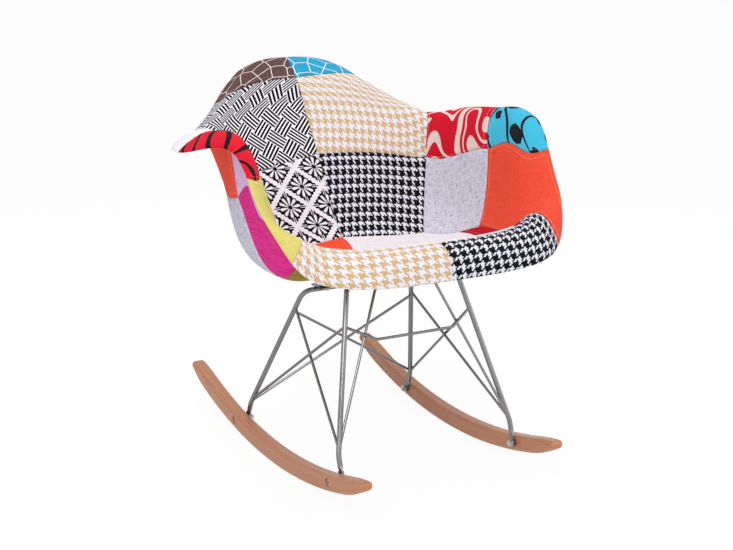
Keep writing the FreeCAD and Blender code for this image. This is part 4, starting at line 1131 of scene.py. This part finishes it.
def makeBeech():  # grain follows the bend of the rocker
    material, tree, shader = newMaterial("beech")
    parts = put(tree, "SeparateXYZ", {0: objectPlace(tree)})
    away = calc(tree, "SUBTRACT", parts.outputs[1], rocker["lowY"])
    lift = calc(tree, "DIVIDE", calc(tree, "MULTIPLY", away, away), 2 * rocker["radius"])
    level = calc(tree, "SUBTRACT", parts.outputs[2], lift)
    flat = put(tree, "CombineXYZ", {0: parts.outputs[0], 1: parts.outputs[1], 2: level}).outputs[0]
    streaks = put(tree, "VectorMath", {0: flat, 1: (420.0, 7.0, 620.0)}, operation="MULTIPLY").outputs[0]
    grain = put(tree, "TexNoise", {"Vector": streaks, "Scale": 1.0, "Detail": 4.0, "Roughness": 0.6,
                                   "Distortion": 0.4}).outputs[0]
    flecks = put(tree, "VectorMath", {0: flat, 1: (900.0, 160.0, 900.0)}, operation="MULTIPLY").outputs[0]
    fleck = put(tree, "TexNoise", {"Vector": flecks, "Scale": 1.0, "Detail": 1.0}).outputs[0]
    fleck = mapped(tree, fleck, 0.62, 0.74, 0.0, 0.65)
    tone = mapped(tree, grain, 0.36, 0.70, 0.0, 1.0)
    base = mixed(tree, tone, colour(*rocker["ground"]), colour(*rocker["grain"]))
    base = mixed(tree, fleck, base, colour(*rocker["fleck"]))
    tree.links.new(base, shader.inputs["Base Color"])
    tree.links.new(mapped(tree, grain, 0.3, 0.7, 0.36, 0.50), shader.inputs["Roughness"])
    setRelief(tree, shader, grain, 0.12, 0.0004)
    shader.inputs["Coat Weight"].default_value = 0.15
    shader.inputs["Coat Roughness"].default_value = 0.30
    return material


def makeMoulded(name, dark, light, grain, rough, metallic=0.0):  # moulded or turned parts with a fine skin
    material, tree, shader = newMaterial(name)
    skin = put(tree, "TexNoise", {"Vector": objectPlace(tree), "Scale": grain, "Detail": 3.0}).outputs[0]
    tree.links.new(mixed(tree, skin, colour(*dark), colour(*light)), shader.inputs["Base Color"])
    tree.links.new(mapped(tree, skin, 0.3, 0.7, rough - 0.08, rough + 0.08), shader.inputs["Roughness"])
    setRelief(tree, shader, skin, 0.15, 0.0003)
    shader.inputs["Metallic"].default_value = metallic
    return material


nodeFinishes = {
    "brightRod": (makeBrightRod(), ("front_leg_hoop", "rear_leg_hoop", "rear_brace_rising",
                                    "rear_brace_falling", "side_brace_rising_left",
                                    "side_brace_rising_right", "side_brace_falling_left",
                                    "side_brace_falling_right", "front_cross_wire",
                                    "front_vee_wire_left", "front_vee_wire_right", "mount_tabs")),
    "beech": (makeBeech(), ("rocker_left", "rocker_right")),
    "zincHardware": (makeZincHardware(), ("rocker_bolts", "rocker_washers", "rocker_nuts", "mount_screws")),
    "shellPlastic": (makeMoulded("shellPlastic", (196, 194, 190), (216, 214, 210), 600.0, 0.5),
                     ("seat_shell",)),
    "rubberPad": (makeMoulded("rubberPad", (26, 26, 28), (44, 44, 46), 900.0, 0.75), ("shock_pads",)),
    "brassInsert": (makeMoulded("brassInsert", (176, 140, 70), (206, 170, 96), 500.0, 0.35, 1.0),
                    ("threaded_inserts",)),
}
for material, names in nodeFinishes.values():
    for name in names:
        dressNode(name, material)
print("base finishes:", len(nodeFinishes))


# Floor, light and camera
stage = {"floorHalf": 40.0, "floorShade": (250, 250, 250), "shadowShare": 0.07, "ambient": 0.50}
lamps = {
    "key": {"at": (-1.7, -1.9, 2.5), "size": 2.0, "power": 58.0},
    "fill": {"at": (2.3, -1.6, 1.6), "size": 2.2, "power": 24.0},
    "top": {"at": (0.1, 0.6, 2.8), "size": 2.0, "power": 26.0},
}
cameraView = {"aim": (0.00561, 0.01394, 0.31498), "azimuth": -30.030, "elevation": 16.251, "roll": 1.179,
              "distance": 2.675, "lens": 72.49}


def seenRays(tree):  # rays that show the surroundings themselves: straight, in gloss and through glass
    path = put(tree, "LightPath")
    seen = calc(tree, "MAXIMUM", path.outputs["Is Camera Ray"], path.outputs["Is Glossy Ray"])
    return calc(tree, "MAXIMUM", seen, path.outputs["Is Transmission Ray"])


def layFloor():
    half = stage["floorHalf"]
    mesh = bpy.data.meshes.new("floor")
    corners = [(-half, -half, 0), (half, -half, 0), (half, half, 0), (-half, half, 0)]
    mesh.from_pydata(corners, [], [(0, 1, 2, 3)])
    floor = bpy.data.objects.new("floor", mesh)
    stageScene.collection.objects.link(floor)
    material, tree, shader = newMaterial("paleFloor")
    shader.inputs["Base Color"].default_value = colour(*stage["floorShade"])
    shader.inputs["Roughness"].default_value = 0.9
    glow = put(tree, "Emission", {"Color": (1, 1, 1, 1), "Strength": 1.0})
    share = calc(tree, "MULTIPLY", seenRays(tree), 1.0 - stage["shadowShare"])
    blend = put(tree, "MixShader", {0: share, 1: shader.outputs[0], 2: glow.outputs[0]})
    tree.links.new(blend.outputs[0], tree.nodes["Material Output"].inputs["Surface"])
    mesh.materials.append(material)


def hangLamps():
    aim = Vector((0, 0, 0.35))
    for name, lamp in lamps.items():
        data = bpy.data.lights.new(name, "AREA")
        data.size = lamp["size"]
        data.energy = lamp["power"]
        lampObject = bpy.data.objects.new(name, data)
        lampObject.location = lamp["at"]
        lampObject.rotation_euler = (aim - Vector(lamp["at"])).to_track_quat("-Z", "Y").to_euler()
        stageScene.collection.objects.link(lampObject)
    world = bpy.data.worlds.new("studio")
    stageScene.world = world
    world.use_nodes = True
    tree = world.node_tree
    strength = choose(tree, seenRays(tree), stage["ambient"], 1.0)
    tree.nodes["Background"].inputs["Color"].default_value = (1, 1, 1, 1)
    tree.links.new(strength, tree.nodes["Background"].inputs["Strength"])


def setCamera():
    turn, rise, roll = (math.radians(cameraView[key]) for key in ("azimuth", "elevation", "roll"))
    back = Vector((math.sin(turn) * math.cos(rise), -math.cos(turn) * math.cos(rise), math.sin(rise)))
    level = Vector((0, 0, 1)).cross(back).normalized()
    upright = back.cross(level)
    across = level * math.cos(roll) + upright * math.sin(roll)
    up = back.cross(across)
    data = bpy.data.cameras.new("camera")
    data.lens = cameraView["lens"]
    data.sensor_width = 36.0
    camera = bpy.data.objects.new("camera", data)
    place = Vector(cameraView["aim"]) + back * cameraView["distance"]
    camera.matrix_world = Matrix.Translation(place) @ Matrix((across, up, back)).transposed().to_4x4()
    stageScene.collection.objects.link(camera)
    stageScene.camera = camera


layFloor()
hangLamps()
setCamera()
print("stage set")
